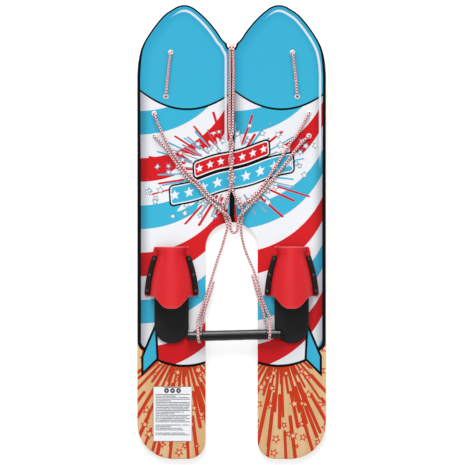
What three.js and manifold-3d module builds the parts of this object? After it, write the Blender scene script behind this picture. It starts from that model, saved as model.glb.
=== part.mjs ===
// Children's water ski trainer: one twin-tip board shaped and printed as a pair of skis, with two
// rubber foot bindings and a tow handle on braided rope. Millimetres, +Z up, tips towards +Y.
// The origin is on the floor under the middle of the board.
import * as THREE from 'three';
import { mergeVertices } from 'three/addons/utils/BufferGeometryUtils.js';
import Module from 'manifold-3d';

const wasm = await Module();
wasm.setup();

// ---- driving dimensions ----
const LENGTH = 1133;            // tip to tail in plan; 45 in along the curved deck
const WIDTH = 471;
const THICKNESS = 13;
const ROCKER_RADIUS = 1925;     // the front half curves up on this radius, measured at the underside
const TIP_X = 118;              // each tip's point, from the centre line
const NOTCH_Y = 457;            // bottom of the notch between the tips
const NOTCH_RADIUS = 11;
const CUTOUT_RADIUS = 65;       // round end of the gap between the tails
const CUTOUT_Y = -40;           // its centre
const TAIL_OUTER_RADIUS = 90;
const TAIL_INNER_RADIUS = 45;
const GAP = 0.3;                // between pieces that touch

const ROPE_D = 6.4;
const L = ROPE_D / 2 + GAP;                  // lift of the centre of a rope lying on the board
const TWIST_RADIUS = 3.8;                    // of the two twisted centre lines
const TWIST_START = 255, TWIST_END = 105, TWIST_X = -1, TWIST_TURNS = 2;

const EYELET_BORE = 7.6, EYELET_BARREL = 10, EYELET_FLANGE = 13, EYELET_RIM = 1.2;
const EYELETS = { 1: [152, 450], 2: [164, 340], 3: [193, 297.5], 4: [193, 241] };

const BINDING_X = 150;
const PAD_THICKNESS = 7.5, PAD_HALF_WIDTH = 43, PAD_FRONT = -50, PAD_HEEL = -278;
const STRAP_THICKNESS = 3, STRAP_FRONT = -36, STRAP_REAR = -160, STRAP_TONGUE = 31;
const STRAP_FRONT_HEIGHT = 30, STRAP_REAR_HEIGHT = 68;
const PLATE_FRONT = -57, PLATE_REAR = -157, PLATE_WIDTH = 13.4, PLATE_THICKNESS = 5;
const PLATE_OFFSET = 40, PLATE_FLARE = 37.6, PLATE_CURL = 16.6;   // from the binding's middle, rearwards
const SCREW_HEAD_D = 8.6, SCREW_HEAD_H = 2, SCREW_D = 4.2, SCREW_IN_BOARD = 9;
const SCREW_PLACES = [0.1, 0.5, 0.9];        // along the side plate, front to rear

const BAR_X = 7, BAR_Y = -257, BAR_TILT = 0.0253;   // centre of the handle, slope of its axis in plan
const BAR_LENGTH = 237, BAR_RADIUS = 11.2, BAR_WALL = 1.8;
const GRIP_LENGTH = 163, GRIP_RADIUS = 13;
const BAR_Z = THICKNESS + GAP + PAD_THICKNESS + GAP + BAR_RADIUS + GAP;
const HINGE_Y = 10;                          // where the handle lines bend up
const HINGE_GAP = 4.8;                       // clear of the centre ropes while they turn
const EYE_RADIUS = BAR_RADIUS + 0.9 + ROPE_D / 2;

const LABEL = { x: -147.5, y: -454, width: 97, height: 137, thickness: 0.4, corner: 4 };

// ---- materials ----
const material = (color, roughness, metalness = 0) =>
  new THREE.MeshStandardMaterial({ color, roughness, metalness });
const looks = {
  board: material(0x3eb4d6, 0.3),
  eyelet: material(0xf2efe6, 0.4),
  rubber: material(0xe1232f, 0.45),
  foam: material(0x222222, 0.9),
  plastic: material(0x161616, 0.4),
  screw: material(0x2a2a2c, 0.35, 0.8),
  tube: material(0x101010, 0.2, 0.3),
  grip: material(0x2b2b2b, 0.85),
  rope: material(0xf1e6e6, 0.8),
  label: material(0xe9e9ea, 0.5),
};

// ---- helpers ----
const part = new THREE.Group();

function addMesh(name, geometry, look) {
  const mesh = new THREE.Mesh(geometry, look);
  mesh.name = name;
  part.add(mesh);
  return mesh;
}

function toSolid(geometry) {
  const bare = geometry.clone();
  for (const key of Object.keys(bare.attributes)) if (key !== 'position') bare.deleteAttribute(key);
  const merged = mergeVertices(bare, 1e-4);
  return new wasm.Manifold(new wasm.Mesh({
    numProp: 3,
    vertProperties: new Float32Array(merged.attributes.position.array),
    triVerts: new Uint32Array(merged.index.array),
  }));
}

function toGeometry(solid) {
  const mesh = solid.getMesh();
  const geometry = new THREE.BufferGeometry();
  geometry.setAttribute('position', new THREE.BufferAttribute(new Float32Array(mesh.vertProperties), 3));
  geometry.setIndex(new THREE.BufferAttribute(new Uint32Array(mesh.triVerts), 1));
  return geometry;
}

const cut = (geometry, cutters) =>
  toGeometry(cutters.reduce((solid, cutter) => solid.subtract(toSolid(cutter)), toSolid(geometry)));

function rod(radius, x, y, zLow, zHigh, tilt = 0, sides = 18) {
  const geometry = new THREE.CylinderGeometry(radius, radius, zHigh - zLow, sides);
  geometry.rotateX(Math.PI / 2 + tilt);
  geometry.translate(x, y, (zLow + zHigh) / 2);
  return geometry;
}

function lathe(profile, segments = 32) {
  const geometry = new THREE.LatheGeometry(profile.map(([r, z]) => new THREE.Vector2(r, z)), segments);
  geometry.rotateX(Math.PI / 2);
  return geometry;
}

// heights of the board's two faces at a distance y along it
const undersideZ = (y) => (y <= 0 ? 0 : ROCKER_RADIUS - Math.sqrt(ROCKER_RADIUS ** 2 - y ** 2));
const topZ = (y) => (y <= 0 ? THICKNESS
  : ROCKER_RADIUS - Math.sqrt((ROCKER_RADIUS - THICKNESS) ** 2 - y ** 2));
const slopeAt = (y) => (y <= 0 ? 0 : Math.asin(y / (ROCKER_RADIUS - THICKNESS / 2)));

// ---- the board ----
function boardOutline() {
  const half = WIDTH / 2, tip = LENGTH / 2, tail = -LENGTH / 2;
  const shape = new THREE.Shape();
  const v = (x, y) => new THREE.Vector2(x, y);
  const outerTip = [[half, 392], [half - 3, 427], [half - 12, 463], [half - 34, 501], [half - 65, 539.5],
    [TIP_X + 27, 557.5], [TIP_X + 13, tip - 2], [TIP_X, tip]];
  const innerTip = [[TIP_X - 13, tip - 2], [TIP_X - 28, 556.5], [68, 538], [50, 518.5], [35, 499.5],
    [24, 482.5], [NOTCH_RADIUS + 1.5, NOTCH_Y + 14]];
  const rightTip = [...outerTip, ...innerTip];
  shape.moveTo(half, CUTOUT_Y);
  shape.lineTo(...rightTip[0]);
  shape.splineThru(rightTip.slice(1).map(([x, y]) => v(x, y)));
  shape.absarc(0, NOTCH_Y + NOTCH_RADIUS, NOTCH_RADIUS, 0, Math.PI, true);
  const mirrored = rightTip.map(([x, y]) => v(-x, y)).reverse();
  shape.lineTo(mirrored[0].x, mirrored[0].y);
  shape.splineThru(mirrored.slice(1));
  shape.lineTo(-half, tail + TAIL_OUTER_RADIUS);
  shape.absarc(-half + TAIL_OUTER_RADIUS, tail + TAIL_OUTER_RADIUS, TAIL_OUTER_RADIUS,
    Math.PI, 1.5 * Math.PI, false);
  shape.absarc(-CUTOUT_RADIUS - TAIL_INNER_RADIUS, tail + TAIL_INNER_RADIUS, TAIL_INNER_RADIUS,
    1.5 * Math.PI, 2 * Math.PI, false);
  shape.absarc(0, CUTOUT_Y, CUTOUT_RADIUS, Math.PI, 0, true);
  shape.absarc(CUTOUT_RADIUS + TAIL_INNER_RADIUS, tail + TAIL_INNER_RADIUS, TAIL_INNER_RADIUS,
    Math.PI, 1.5 * Math.PI, false);
  shape.absarc(half - TAIL_OUTER_RADIUS, tail + TAIL_OUTER_RADIUS, TAIL_OUTER_RADIUS,
    1.5 * Math.PI, 2 * Math.PI, false);
  return shape;
}

function boardSideProfile() {
  const end = Math.asin((LENGTH / 2 + 20) / ROCKER_RADIUS), steps = 14;
  const at = (radius, angle) =>
    new THREE.Vector2(radius * Math.sin(angle), ROCKER_RADIUS - radius * Math.cos(angle));
  const points = [new THREE.Vector2(-LENGTH / 2 - 20, 0)];
  for (let i = 0; i <= steps; i++) points.push(at(ROCKER_RADIUS, end * i / steps));
  for (let i = steps; i >= 0; i--) points.push(at(ROCKER_RADIUS - THICKNESS, end * i / steps));
  points.push(new THREE.Vector2(-LENGTH / 2 - 20, THICKNESS));
  return new THREE.Shape(points);
}

function boardGeometry() {
  const plan = new THREE.ExtrudeGeometry(boardOutline(),
    { depth: 400, bevelEnabled: false, curveSegments: 7 });
  plan.translate(0, 0, -100);
  const bent = new THREE.ExtrudeGeometry(boardSideProfile(), { depth: WIDTH + 40, bevelEnabled: false });
  // the profile's plane becomes YZ and its extrusion runs along X
  bent.applyMatrix4(new THREE.Matrix4().makeBasis(
    new THREE.Vector3(0, 1, 0), new THREE.Vector3(0, 0, 1), new THREE.Vector3(1, 0, 0)));
  bent.translate(-WIDTH / 2 - 20, 0, 0);
  const blank = toGeometry(toSolid(plan).intersect(toSolid(bent)));
  const holes = [];
  for (const hand of [-1, 1]) {
    for (const [x, y] of Object.values(EYELETS)) {
      const z = (undersideZ(y) + topZ(y)) / 2;
      holes.push(rod(EYELET_BARREL / 2 + GAP, hand * x, y, z - 20, z + 20, slopeAt(y)));
    }
    for (const side of [-1, 1]) {
      for (const [x, y] of screwPlaces(hand, side)) {
        holes.push(rod(SCREW_D / 2 + GAP, x, y, THICKNESS - SCREW_IN_BOARD - 1, THICKNESS + 5, 0, 12));
      }
    }
  }
  return cut(blank, holes);
}

// ---- eyelets that line the rope holes ----
function eyeletGeometry() {
  const bore = EYELET_BORE / 2, barrel = EYELET_BARREL / 2, flange = EYELET_FLANGE / 2;
  const inner = THICKNESS / 2 + GAP, outer = inner + EYELET_RIM;
  return lathe([[bore, -outer], [flange - 0.5, -outer], [flange, -inner], [barrel, -inner],
    [barrel, inner], [flange, inner], [flange - 0.5, outer], [bore, outer], [bore, -outer]], 18);
}

function addEyelets() {
  for (const [side, hand] of [['left', -1], ['right', 1]]) {
    for (const [number, [x, y]] of Object.entries(EYELETS)) {
      const eyelet = addMesh(`eyelet_${side}_${number}`, eyeletGeometry(), looks.eyelet);
      eyelet.position.set(hand * x, y, (undersideZ(y) + topZ(y)) / 2);
      eyelet.rotation.x = slopeAt(y);
    }
  }
}

// ---- bindings ----
// distance of a side plate's centre line from the binding's middle, at y
function plateOffset(y) {
  const t = (PLATE_FRONT - y) / (PLATE_FRONT - PLATE_REAR);
  const steepest = PLATE_FLARE / (2 * PLATE_CURL);
  const clamped = Math.min(Math.max(t, 0), steepest);
  return PLATE_OFFSET + PLATE_FLARE * clamped - PLATE_CURL * clamped ** 2;
}

function screwPlaces(hand, side) {
  return SCREW_PLACES.map((t) => {
    const y = PLATE_FRONT + (PLATE_REAR - PLATE_FRONT) * t;
    return [hand * BINDING_X + side * plateOffset(y), y];
  });
}

function footPadGeometry() {
  const heelCentre = PAD_HEEL + PAD_HALF_WIDTH, toeHalf = 29;
  const shape = new THREE.Shape();
  shape.moveTo(-PAD_HALF_WIDTH, heelCentre);
  shape.absarc(0, heelCentre, PAD_HALF_WIDTH, Math.PI, 2 * Math.PI, false);
  shape.lineTo(PAD_HALF_WIDTH, -120);
  shape.bezierCurveTo(PAD_HALF_WIDTH, -95, toeHalf + 1, -80, toeHalf, PAD_FRONT - 12);
  shape.absarc(toeHalf - 12, PAD_FRONT - 12, 12, 0, Math.PI / 2, false);
  shape.absarc(-toeHalf + 12, PAD_FRONT - 12, 12, Math.PI / 2, Math.PI, false);
  shape.bezierCurveTo(-toeHalf - 1, -80, -PAD_HALF_WIDTH, -95, -PAD_HALF_WIDTH, -120);
  return new THREE.ExtrudeGeometry(shape, { depth: PAD_THICKNESS, bevelEnabled: false, curveSegments: 10 });
}

// one cross section of the strap: the arch's half width, the flat edge's place and the arch's height
function strapSection(y) {
  const toPlate = 1.5, pastPlate = 0.6, archFlare = 6, edgeTaper = 5;
  const front = Math.min(Math.max((y - PLATE_FRONT) / (STRAP_FRONT - PLATE_FRONT), 0), 1);
  const base = plateOffset(y);
  const archHalf = base - PLATE_WIDTH / 2 - toPlate + archFlare * front;
  const edge = base + PLATE_WIDTH / 2 + pastPlate - edgeTaper * front ** 2;
  const run = (STRAP_FRONT - y) / (STRAP_FRONT - STRAP_REAR + STRAP_TONGUE);
  const height = STRAP_FRONT_HEIGHT + (STRAP_REAR_HEIGHT - STRAP_FRONT_HEIGHT) * run;
  return { archHalf, edge, height };
}

function strapGeometry() {
  const arch = 16, rows = 9, t = STRAP_THICKNESS;
  const across = [[-1, null], ...Array.from({ length: arch + 1 }, (_, i) => [0, Math.PI * (1 - i / arch)]),
    [1, null]];
  // the tongue swells out of the straight rear edge, a little wider than the pad
  const spread = (plateOffset(STRAP_REAR - STRAP_TONGUE) - PLATE_WIDTH / 2) / (1.12 * PAD_HALF_WIDTH);
  const rearOf = (cosine) => {
    const swell = Math.min(Math.abs(cosine) * spread, 1) ** 1.5;
    return STRAP_REAR - STRAP_TONGUE * Math.cos(Math.PI / 2 * swell) ** 1.6;
  };
  const positions = [], columns = across.length;
  for (const face of ['outer', 'inner']) {
    for (let r = 0; r <= rows; r++) {
      for (const [end, angle] of across) {
        const rear = end ? STRAP_REAR : rearOf(Math.cos(angle));
        const y = STRAP_FRONT + (rear - STRAP_FRONT) * r / rows;
        const { archHalf, edge, height } = strapSection(y);
        const depth = face === 'outer' ? 0 : t;
        if (end) {
          positions.push(end * edge, y, t - depth);
        } else {
          positions.push((archHalf - depth) * Math.cos(angle), y,
            t - depth + (height - t) * Math.sin(angle));
        }
      }
    }
  }
  const at = (face, row, column) => (face * (rows + 1) + row) * columns + column;
  const index = [];
  const quad = (a, b, c, d) => index.push(a, b, c, a, c, d);
  for (let r = 0; r < rows; r++) {
    for (let c = 0; c < columns - 1; c++) {
      quad(at(0, r, c), at(0, r + 1, c), at(0, r + 1, c + 1), at(0, r, c + 1));
      quad(at(1, r, c), at(1, r, c + 1), at(1, r + 1, c + 1), at(1, r + 1, c));
    }
    quad(at(0, r, 0), at(1, r, 0), at(1, r + 1, 0), at(0, r + 1, 0));
    const last = columns - 1;
    quad(at(0, r, last), at(0, r + 1, last), at(1, r + 1, last), at(1, r, last));
  }
  for (let c = 0; c < columns - 1; c++) {
    quad(at(0, 0, c), at(0, 0, c + 1), at(1, 0, c + 1), at(1, 0, c));
    quad(at(0, rows, c), at(1, rows, c), at(1, rows, c + 1), at(0, rows, c + 1));
  }
  const geometry = new THREE.BufferGeometry();
  geometry.setAttribute('position', new THREE.BufferAttribute(new Float32Array(positions), 3));
  geometry.setIndex(index);
  const holes = [];
  for (const side of [-1, 1]) {
    for (const [x, y] of screwPlaces(0, side)) holes.push(rod(SCREW_D / 2 + GAP, x, y, -5, t + 5, 0, 12));
  }
  return cut(geometry, holes);
}

function plateGeometry(side) {
  const steps = 6, half = PLATE_WIDTH / 2;
  const centre = Array.from({ length: steps + 1 }, (_, i) => {
    const y = PLATE_FRONT - half + (PLATE_REAR - PLATE_FRONT + PLATE_WIDTH) * i / steps;
    return new THREE.Vector2(side * plateOffset(y), y);
  });
  const normals = centre.map((_, i) => {
    const a = centre[Math.max(i - 1, 0)], b = centre[Math.min(i + 1, steps)];
    return new THREE.Vector2(-(b.y - a.y), b.x - a.x).normalize();
  });
  const rim = (i, sign) => centre[i].clone().addScaledVector(normals[i], sign * half);
  const cap = (i, from) => Array.from({ length: 7 }, (_, k) => {
    const angle = Math.atan2(normals[i].y, normals[i].x) + from - Math.PI * (k + 1) / 8;
    return centre[i].clone().add(new THREE.Vector2(Math.cos(angle) * half, Math.sin(angle) * half));
  });
  const points = [...centre.map((_, i) => rim(i, 1)), ...cap(steps, 0)];
  points.push(...centre.map((_, i) => rim(i, -1)).reverse(), ...cap(0, Math.PI));
  const shape = new THREE.Shape(points);
  const bevel = 0.8;
  const geometry = new THREE.ExtrudeGeometry(shape, { depth: PLATE_THICKNESS - 2 * bevel, bevelEnabled: true,
    bevelThickness: bevel, bevelSize: bevel, bevelOffset: -bevel, bevelSegments: 1 });
  geometry.translate(0, 0, bevel);
  const cutters = screwPlaces(0, side).flatMap(([x, y]) => [
    rod(SCREW_D / 2 + GAP, x, y, -5, PLATE_THICKNESS + 5, 0, 12),
    rod(SCREW_HEAD_D / 2 + GAP, x, y, PLATE_THICKNESS - SCREW_HEAD_H - GAP, PLATE_THICKNESS + 5, 0, 12),
  ]);
  return cut(geometry, cutters);
}

function screwGeometry() {
  const head = SCREW_HEAD_D / 2, shank = SCREW_D / 2;
  const length = PLATE_THICKNESS - SCREW_HEAD_H + STRAP_THICKNESS + 2 * GAP + SCREW_IN_BOARD;
  const body = lathe([[0, -length], [shank * 0.45, -length + 1.5], [shank, -length + 4], [shank, 0],
    [head, 0], [head, SCREW_HEAD_H * 0.55], [head * 0.75, SCREW_HEAD_H], [0, SCREW_HEAD_H]], 12);
  const slots = [[4.4, 1], [1, 4.4]].map(([x, y]) => {
    const slot = new THREE.BoxGeometry(x, y, 2);
    slot.translate(0, 0, SCREW_HEAD_H + 1 - 1.2);
    return slot;
  });
  return cut(body, slots);
}

function addBindings() {
  for (const [name, hand] of [['left', -1], ['right', 1]]) {
    const centre = hand * BINDING_X;
    addMesh(`foot_pad_${name}`, footPadGeometry(), looks.foam).position.set(centre, 0, THICKNESS + GAP);
    addMesh(`toe_strap_${name}`, strapGeometry(), looks.rubber).position.set(centre, 0, THICKNESS + GAP);
    const plateZ = THICKNESS + 2 * GAP + STRAP_THICKNESS;
    for (const [side, sign] of [['outer', hand], ['inner', -hand]]) {
      const plate = addMesh(`side_plate_${name}_${side}`, plateGeometry(sign), looks.plastic);
      plate.position.set(centre, 0, plateZ);
      screwPlaces(0, sign).forEach(([x, y], i) => {
        const screw = addMesh(`screw_${name}_${side}_${i + 1}`, screwGeometry(), looks.screw);
        screw.position.set(centre + x, y, plateZ + PLATE_THICKNESS - SCREW_HEAD_H);
      });
    }
  }
}

// ---- handle ----
function addHandle() {
  const bar = new THREE.Group();
  bar.position.set(BAR_X, BAR_Y, BAR_Z);
  bar.rotation.z = Math.atan(BAR_TILT);
  part.add(bar);
  const half = BAR_LENGTH / 2, bore = BAR_RADIUS - BAR_WALL;
  const add = (name, profile, look, flip = 0) => {
    const geometry = lathe(profile, 32);
    geometry.rotateY(Math.PI / 2 + flip);
    bar.add(Object.assign(new THREE.Mesh(geometry, look), { name }));
  };
  const capRim = 3, tubeHalf = half - capRim - GAP;
  add('handle_tube', [[bore, -tubeHalf], [BAR_RADIUS, -tubeHalf], [BAR_RADIUS, tubeHalf], [bore, tubeHalf],
    [bore, -tubeHalf]], looks.tube);
  const gripHalf = GRIP_LENGTH / 2, gripBore = BAR_RADIUS + GAP;
  add('handle_grip', [[gripBore, -gripHalf], [GRIP_RADIUS - 1.5, -gripHalf], [GRIP_RADIUS, -gripHalf + 1.5],
    [GRIP_RADIUS, gripHalf - 1.5], [GRIP_RADIUS - 1.5, gripHalf], [gripBore, gripHalf],
    [gripBore, -gripHalf]], looks.grip);
  const cap = [[0, half - 16], [bore - 1.2, half - 16], [bore - GAP, half - 14], [bore - GAP, half - capRim],
    [BAR_RADIUS, half - capRim], [BAR_RADIUS, half - 1.2], [BAR_RADIUS - 1.2, half], [0, half]];
  add('handle_cap_right', cap, looks.plastic);
  add('handle_cap_left', cap, looks.plastic, Math.PI);
}

// ---- ropes ----
// a rope's route: [x, y, lift] over the board's top, or under it where the fourth value is 'under',
// inside it where it is 'mid', and at an absolute height where it is 'z'
function routePoint([x, y, h, mode = 'top']) {
  const heights = { top: topZ(y) + h, under: undersideZ(y) - h, mid: (topZ(y) + undersideZ(y)) / 2 + h, z: h };
  return new THREE.Vector3(x, y, heights[mode]);
}

function ropeGeometry(points, step, sides = 8) {
  const curve = new THREE.CatmullRomCurve3(points);
  curve.arcLengthDivisions = 600;
  const section = new THREE.Shape(Array.from({ length: sides }, (_, i) => {
    const angle = 2 * Math.PI * i / sides;
    return new THREE.Vector2(Math.cos(angle) * ROPE_D / 2, Math.sin(angle) * ROPE_D / 2);
  }));
  const steps = Math.max(4, Math.round(curve.getLength() / step));
  return new THREE.ExtrudeGeometry(section, { steps, extrudePath: curve, bevelEnabled: false });
}

const addRope = (name, route, step = 9) =>
  addMesh(name, ropeGeometry(route.map(routePoint), step), looks.rope);

const OVER = L + ROPE_D + 1.6;       // centre of a rope that crosses over another one
const AT_EYELET = GAP + EYELET_RIM + ROPE_D / 2 + 0.5;   // centre of a rope over an eyelet's rim

// the pair of twisted centre lines, as route points; phase 0 starts on the left
function twist(phase) {
  const count = TWIST_TURNS * 10, points = [];
  for (let i = 0; i <= count; i++) {
    const angle = Math.PI + phase + TWIST_TURNS * 2 * Math.PI * i / count;
    const y = TWIST_START + (TWIST_END - TWIST_START) * i / count;
    points.push([TWIST_X + TWIST_RADIUS * Math.cos(angle), y,
      L + TWIST_RADIUS + TWIST_RADIUS * Math.sin(angle)]);
  }
  return points;
}

// from the outer eyelet under the board, up round the notch and down the middle of the top
const underTip = (hand) => [[152, 450, AT_EYELET, 'under'], [141, 448, AT_EYELET, 'under'],
  [128, 445, L, 'under'], [95, 439.5, L, 'under'], [55, 434, L, 'under'], [27, 432, L, 'under'],
  [10.5, 436, L, 'under'], [4.8, 446, L + 0.4, 'under'], [4, 457.5, L + 1, 'under'], [4, 465.3, -7.8, 'mid'],
  [4, 468.5, 0, 'mid'], [4, 465.3, 7.8, 'mid'], [4, 457.5, L + 1], [4, 447, L]]
  .map(([x, ...rest]) => [hand * x, ...rest]);

const CENTRE_ROUTES = {
  left: [...underTip(-1), [-4.2, 410, L], [-4.6, 350, L], [-5.2, 295, L], [-5.2, 272, L + 1.6], ...twist(0),
    [-7.5, 94, L + 3], [-14, 82, L + 4.5], [-20, 71, OVER], [-22.4, 60, L + 3], [-20, 49.5, L],
    [-15.5, 37, L], [-12, 25, L], [-11, HINGE_Y + HINGE_GAP, 16.8, 'z']],
  right: [...underTip(1), [4.6, 410, L], [4.4, 350, L], [3.6, 295, L], [3.2, 272, L + 1.6], ...twist(Math.PI),
    [7, 94, L + 3], [14.5, 83, L + 4.5], [21.5, 71.5, OVER], [26, 59, L + 3], [27.2, 47.5, L],
    [26.6, 36, L], [24.6, 25, L], [23, HINGE_Y + HINGE_GAP, 16.8, 'z']],
};

const HANDLE_ROUTES = {
  left: [[-11, HINGE_Y, 16.8], [-12.6, 3, 15.8], [-18, -15, 13.2], [-25.5, -40.6, 10.2], [-34.8, -66.4, 8.6],
    [-43.8, -95, 9], [-52, -122, 12], [-59.5, -146, 16.2], [-66.5, -168, 17], [-74, -192, 17.4]],
  right: [[23, HINGE_Y, 16.8], [23.6, 3, 15.8], [26.2, -14.9, 13.2], [32, -37.6, 10.4], [41, -62, 9.4],
    [50.6, -84, 10.4], [59, -106, 14], [65.4, -128, 16.8], [73.6, -158, 17], [84.6, -189, 17.4]],
};

// the eye that holds the bar: over it, round it and back beside the line
function eyeRoute(hand, x, towards, back) {
  const y = BAR_Y + BAR_TILT * (x - BAR_X), inward = -hand;
  const line = HANDLE_ROUTES[towards].slice(-1)[0];
  const points = [[line[0] + hand * 0.4, line[1] - 2.2, line[2] + 0.5],
    [x - inward * 1.5, y + 36, 25.5], [x - inward * 0.8, y + 20, 38.5]];
  for (const degrees of [62, 84, 106, 128, 150, 172, 194, 216, 238, 260]) {
    const angle = degrees * Math.PI / 180;
    const shift = Math.max(0, degrees - 84) / 176 * 6;
    points.push([x + inward * shift, y + EYE_RADIUS * Math.cos(angle), BAR_Z + EYE_RADIUS * Math.sin(angle)]);
  }
  points.push([x + inward * 6.8, y + 10, 17.2], ...back);
  return points.map((p) => [...p, 'z']);
}

const EYE_ROUTES = {
  left: eyeRoute(-1, -84, 'left', [[-74, -232, 17], [-70, -208, 17], [-65.2, -190, 17], [-57.7, -166, 17],
    [-50.6, -143.6, 16.2], [-44, -123, 12.6]]),
  right: eyeRoute(1, 96, 'right', [[86.2, -229, 17], [81, -210, 17], [75.6, -187, 17], [64.8, -156, 17],
    [57.2, -128, 16.6], [51.2, -108, 14]]),
};

// upper side ropes: from the third eyelet to the centre line, where the end is tucked under it
const SIDE_ROUTES = {
  left: [[-193, 297.5, AT_EYELET], [-190.2, 286.5, AT_EYELET], [-185.6, 274, L], [-177.8, 257, L],
    [-169.8, 240.6, L], [-160.3, 221.5, L], [-146.5, 198, L], [-133, 178.8, L], [-118, 157, L],
    [-102, 139.6, L], [-86, 126.5, L], [-67, 104.5, L], [-51, 87.5, L], [-36, 77.5, L], [-24, 72, L],
    [-16.5, 69.5, L]],
  right: [[193, 297.5, AT_EYELET], [188, 287.5, AT_EYELET], [181.6, 275, L], [173.5, 260.6, L],
    [161, 240.4, L], [148.5, 224.9, L], [136, 205.6, L], [123.5, 185.6, L], [111, 166.6, L],
    [99, 148.6, L], [89, 131.6, L], [76, 112, L], [61, 94.5, L], [48, 82, L], [35, 75, L], [25, 71.8, L],
    [17.8, 70, L]],
};

// the lower side rope runs from one fourth eyelet to the other, crosses both lines and hangs
// between them in a short loop
const BRIDLE_ROUTE = [[-193, 241, AT_EYELET], [-185.4, 232.4, AT_EYELET], [-176, 222.4, L],
  [-166, 210.6, L], [-159.5, 202.6, L], [-151, 190.5, L], [-137.6, 171, L], [-122.8, 149.6, L],
  [-106.4, 131.6, L], [-90, 118.4, L], [-71.5, 97.4, L + 0.3], [-55, 79.6, L + 0.5],
  [-43, 68.6, L + 0.6], [-33, 60, L + 4], [-20.6, 50.2, OVER], [-9.5, 42, L + 4], [-4.6, 32, L],
  [-3.4, 20, 17, 'z'], [-2.8, 9, 16, 'z'], [1.6, 0.6, 14.8, 'z'], [8, -1.4, 14.4, 'z'],
  [13, 3.4, 15.2, 'z'], [15.2, 14, 16.6, 'z'], [16.4, 27, 17, 'z'], [18.6, 37.4, L + 4],
  [27.2, 47.5, OVER], [36.6, 57.4, L + 4], [45, 66.6, L + 0.6], [54.8, 77.6, L + 0.5],
  [66.5, 88.6, L + 0.3], [83.5, 109, L], [98.5, 127, L], [108, 139.4, L], [121, 154.4, L],
  [135, 172, L], [148.5, 191, L], [162, 209, L], [175, 223.6, L], [185, 233, AT_EYELET],
  [193, 241, AT_EYELET]];

function tipRoute(hand) {
  const route = [[152, 450, AT_EYELET], [153.2, 439.5, AT_EYELET], [155.5, 424, L + 0.4], [158.8, 395, L],
    [161.4, 368, L], [163, 350.5, AT_EYELET], [164, 340, AT_EYELET]];
  return route.map(([x, ...rest]) => [hand * x, ...rest]);
}

function underRoute(hand) {
  const route = [[164, 340, AT_EYELET, 'under'], [170.8, 330, AT_EYELET, 'under'], [178.5, 318.8, L, 'under'],
    [186.2, 307.5, AT_EYELET, 'under'], [193, 297.5, AT_EYELET, 'under']];
  return route.map(([x, ...rest]) => [hand * x, ...rest]);
}

// a knot under the last eyelet keeps the lower side rope from pulling through
function knotGeometry() {
  const geometry = new THREE.SphereGeometry(1, 12, 8);
  geometry.scale(9.2, 8.4, 4.6);
  return geometry;
}

function addRopes() {
  for (const [name, hand] of [['left', -1], ['right', 1]]) {
    addRope(`centre_rope_${name}`, CENTRE_ROUTES[name], 8);
    addRope(`handle_rope_${name}`, HANDLE_ROUTES[name].map((p) => [...p, 'z']), 12);
    addRope(`handle_eye_${name}`, EYE_ROUTES[name], 5.5);
    addRope(`side_rope_${name}`, SIDE_ROUTES[name], 11);
    addRope(`tip_rope_${name}`, tipRoute(hand), 8);
    addRope(`under_rope_${name}`, underRoute(hand), 6);
    const knot = addMesh(`stopper_knot_${name}`, knotGeometry(), looks.rope);
    knot.position.set(hand * 193, 241, undersideZ(241) - EYELET_RIM - GAP - 5.4);
  }
  addRope('bridle_rope', BRIDLE_ROUTE, 9);
}

function addLabel() {
  const { x, y, width, height, thickness, corner } = LABEL;
  const w = width / 2, h = height / 2, shape = new THREE.Shape();
  shape.moveTo(w, -h + corner);
  shape.absarc(w - corner, h - corner, corner, 0, Math.PI / 2, false);
  shape.absarc(-w + corner, h - corner, corner, Math.PI / 2, Math.PI, false);
  shape.absarc(-w + corner, -h + corner, corner, Math.PI, 1.5 * Math.PI, false);
  shape.absarc(w - corner, -h + corner, corner, 1.5 * Math.PI, 2 * Math.PI, false);
  const geometry = new THREE.ExtrudeGeometry(shape,
    { depth: thickness, bevelEnabled: false, curveSegments: 4 });
  addMesh('label', geometry, looks.label).position.set(x, y, THICKNESS + GAP);
}

addMesh('board', boardGeometry(), looks.board);
addEyelets();
addBindings();
addLabel();
addHandle();
addRopes();

export default part;
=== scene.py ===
"""Looks of the water ski trainer: printed board, rubber bindings, tow handle and braided ropes.

Plan sizes are written in millimetres and turned into metres where the meshes are made.
"""
import math

import bmesh
import bpy
import numpy as np
from mathutils import Matrix, Vector
from mathutils.geometry import delaunay_2d_cdt


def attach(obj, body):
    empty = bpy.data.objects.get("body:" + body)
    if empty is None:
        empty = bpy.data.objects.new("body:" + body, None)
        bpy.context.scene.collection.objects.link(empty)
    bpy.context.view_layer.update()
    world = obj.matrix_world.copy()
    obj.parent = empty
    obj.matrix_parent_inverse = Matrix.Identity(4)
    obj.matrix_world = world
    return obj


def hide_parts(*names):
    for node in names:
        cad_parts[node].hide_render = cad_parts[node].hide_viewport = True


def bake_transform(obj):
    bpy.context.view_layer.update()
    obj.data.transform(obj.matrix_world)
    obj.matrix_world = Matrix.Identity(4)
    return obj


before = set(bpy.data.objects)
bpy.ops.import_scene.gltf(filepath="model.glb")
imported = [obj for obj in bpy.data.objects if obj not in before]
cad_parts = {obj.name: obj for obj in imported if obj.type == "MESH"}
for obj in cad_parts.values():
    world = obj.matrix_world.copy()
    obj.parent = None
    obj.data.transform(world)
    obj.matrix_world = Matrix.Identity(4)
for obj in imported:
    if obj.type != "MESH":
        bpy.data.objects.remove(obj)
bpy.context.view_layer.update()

MM = 0.001

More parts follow.
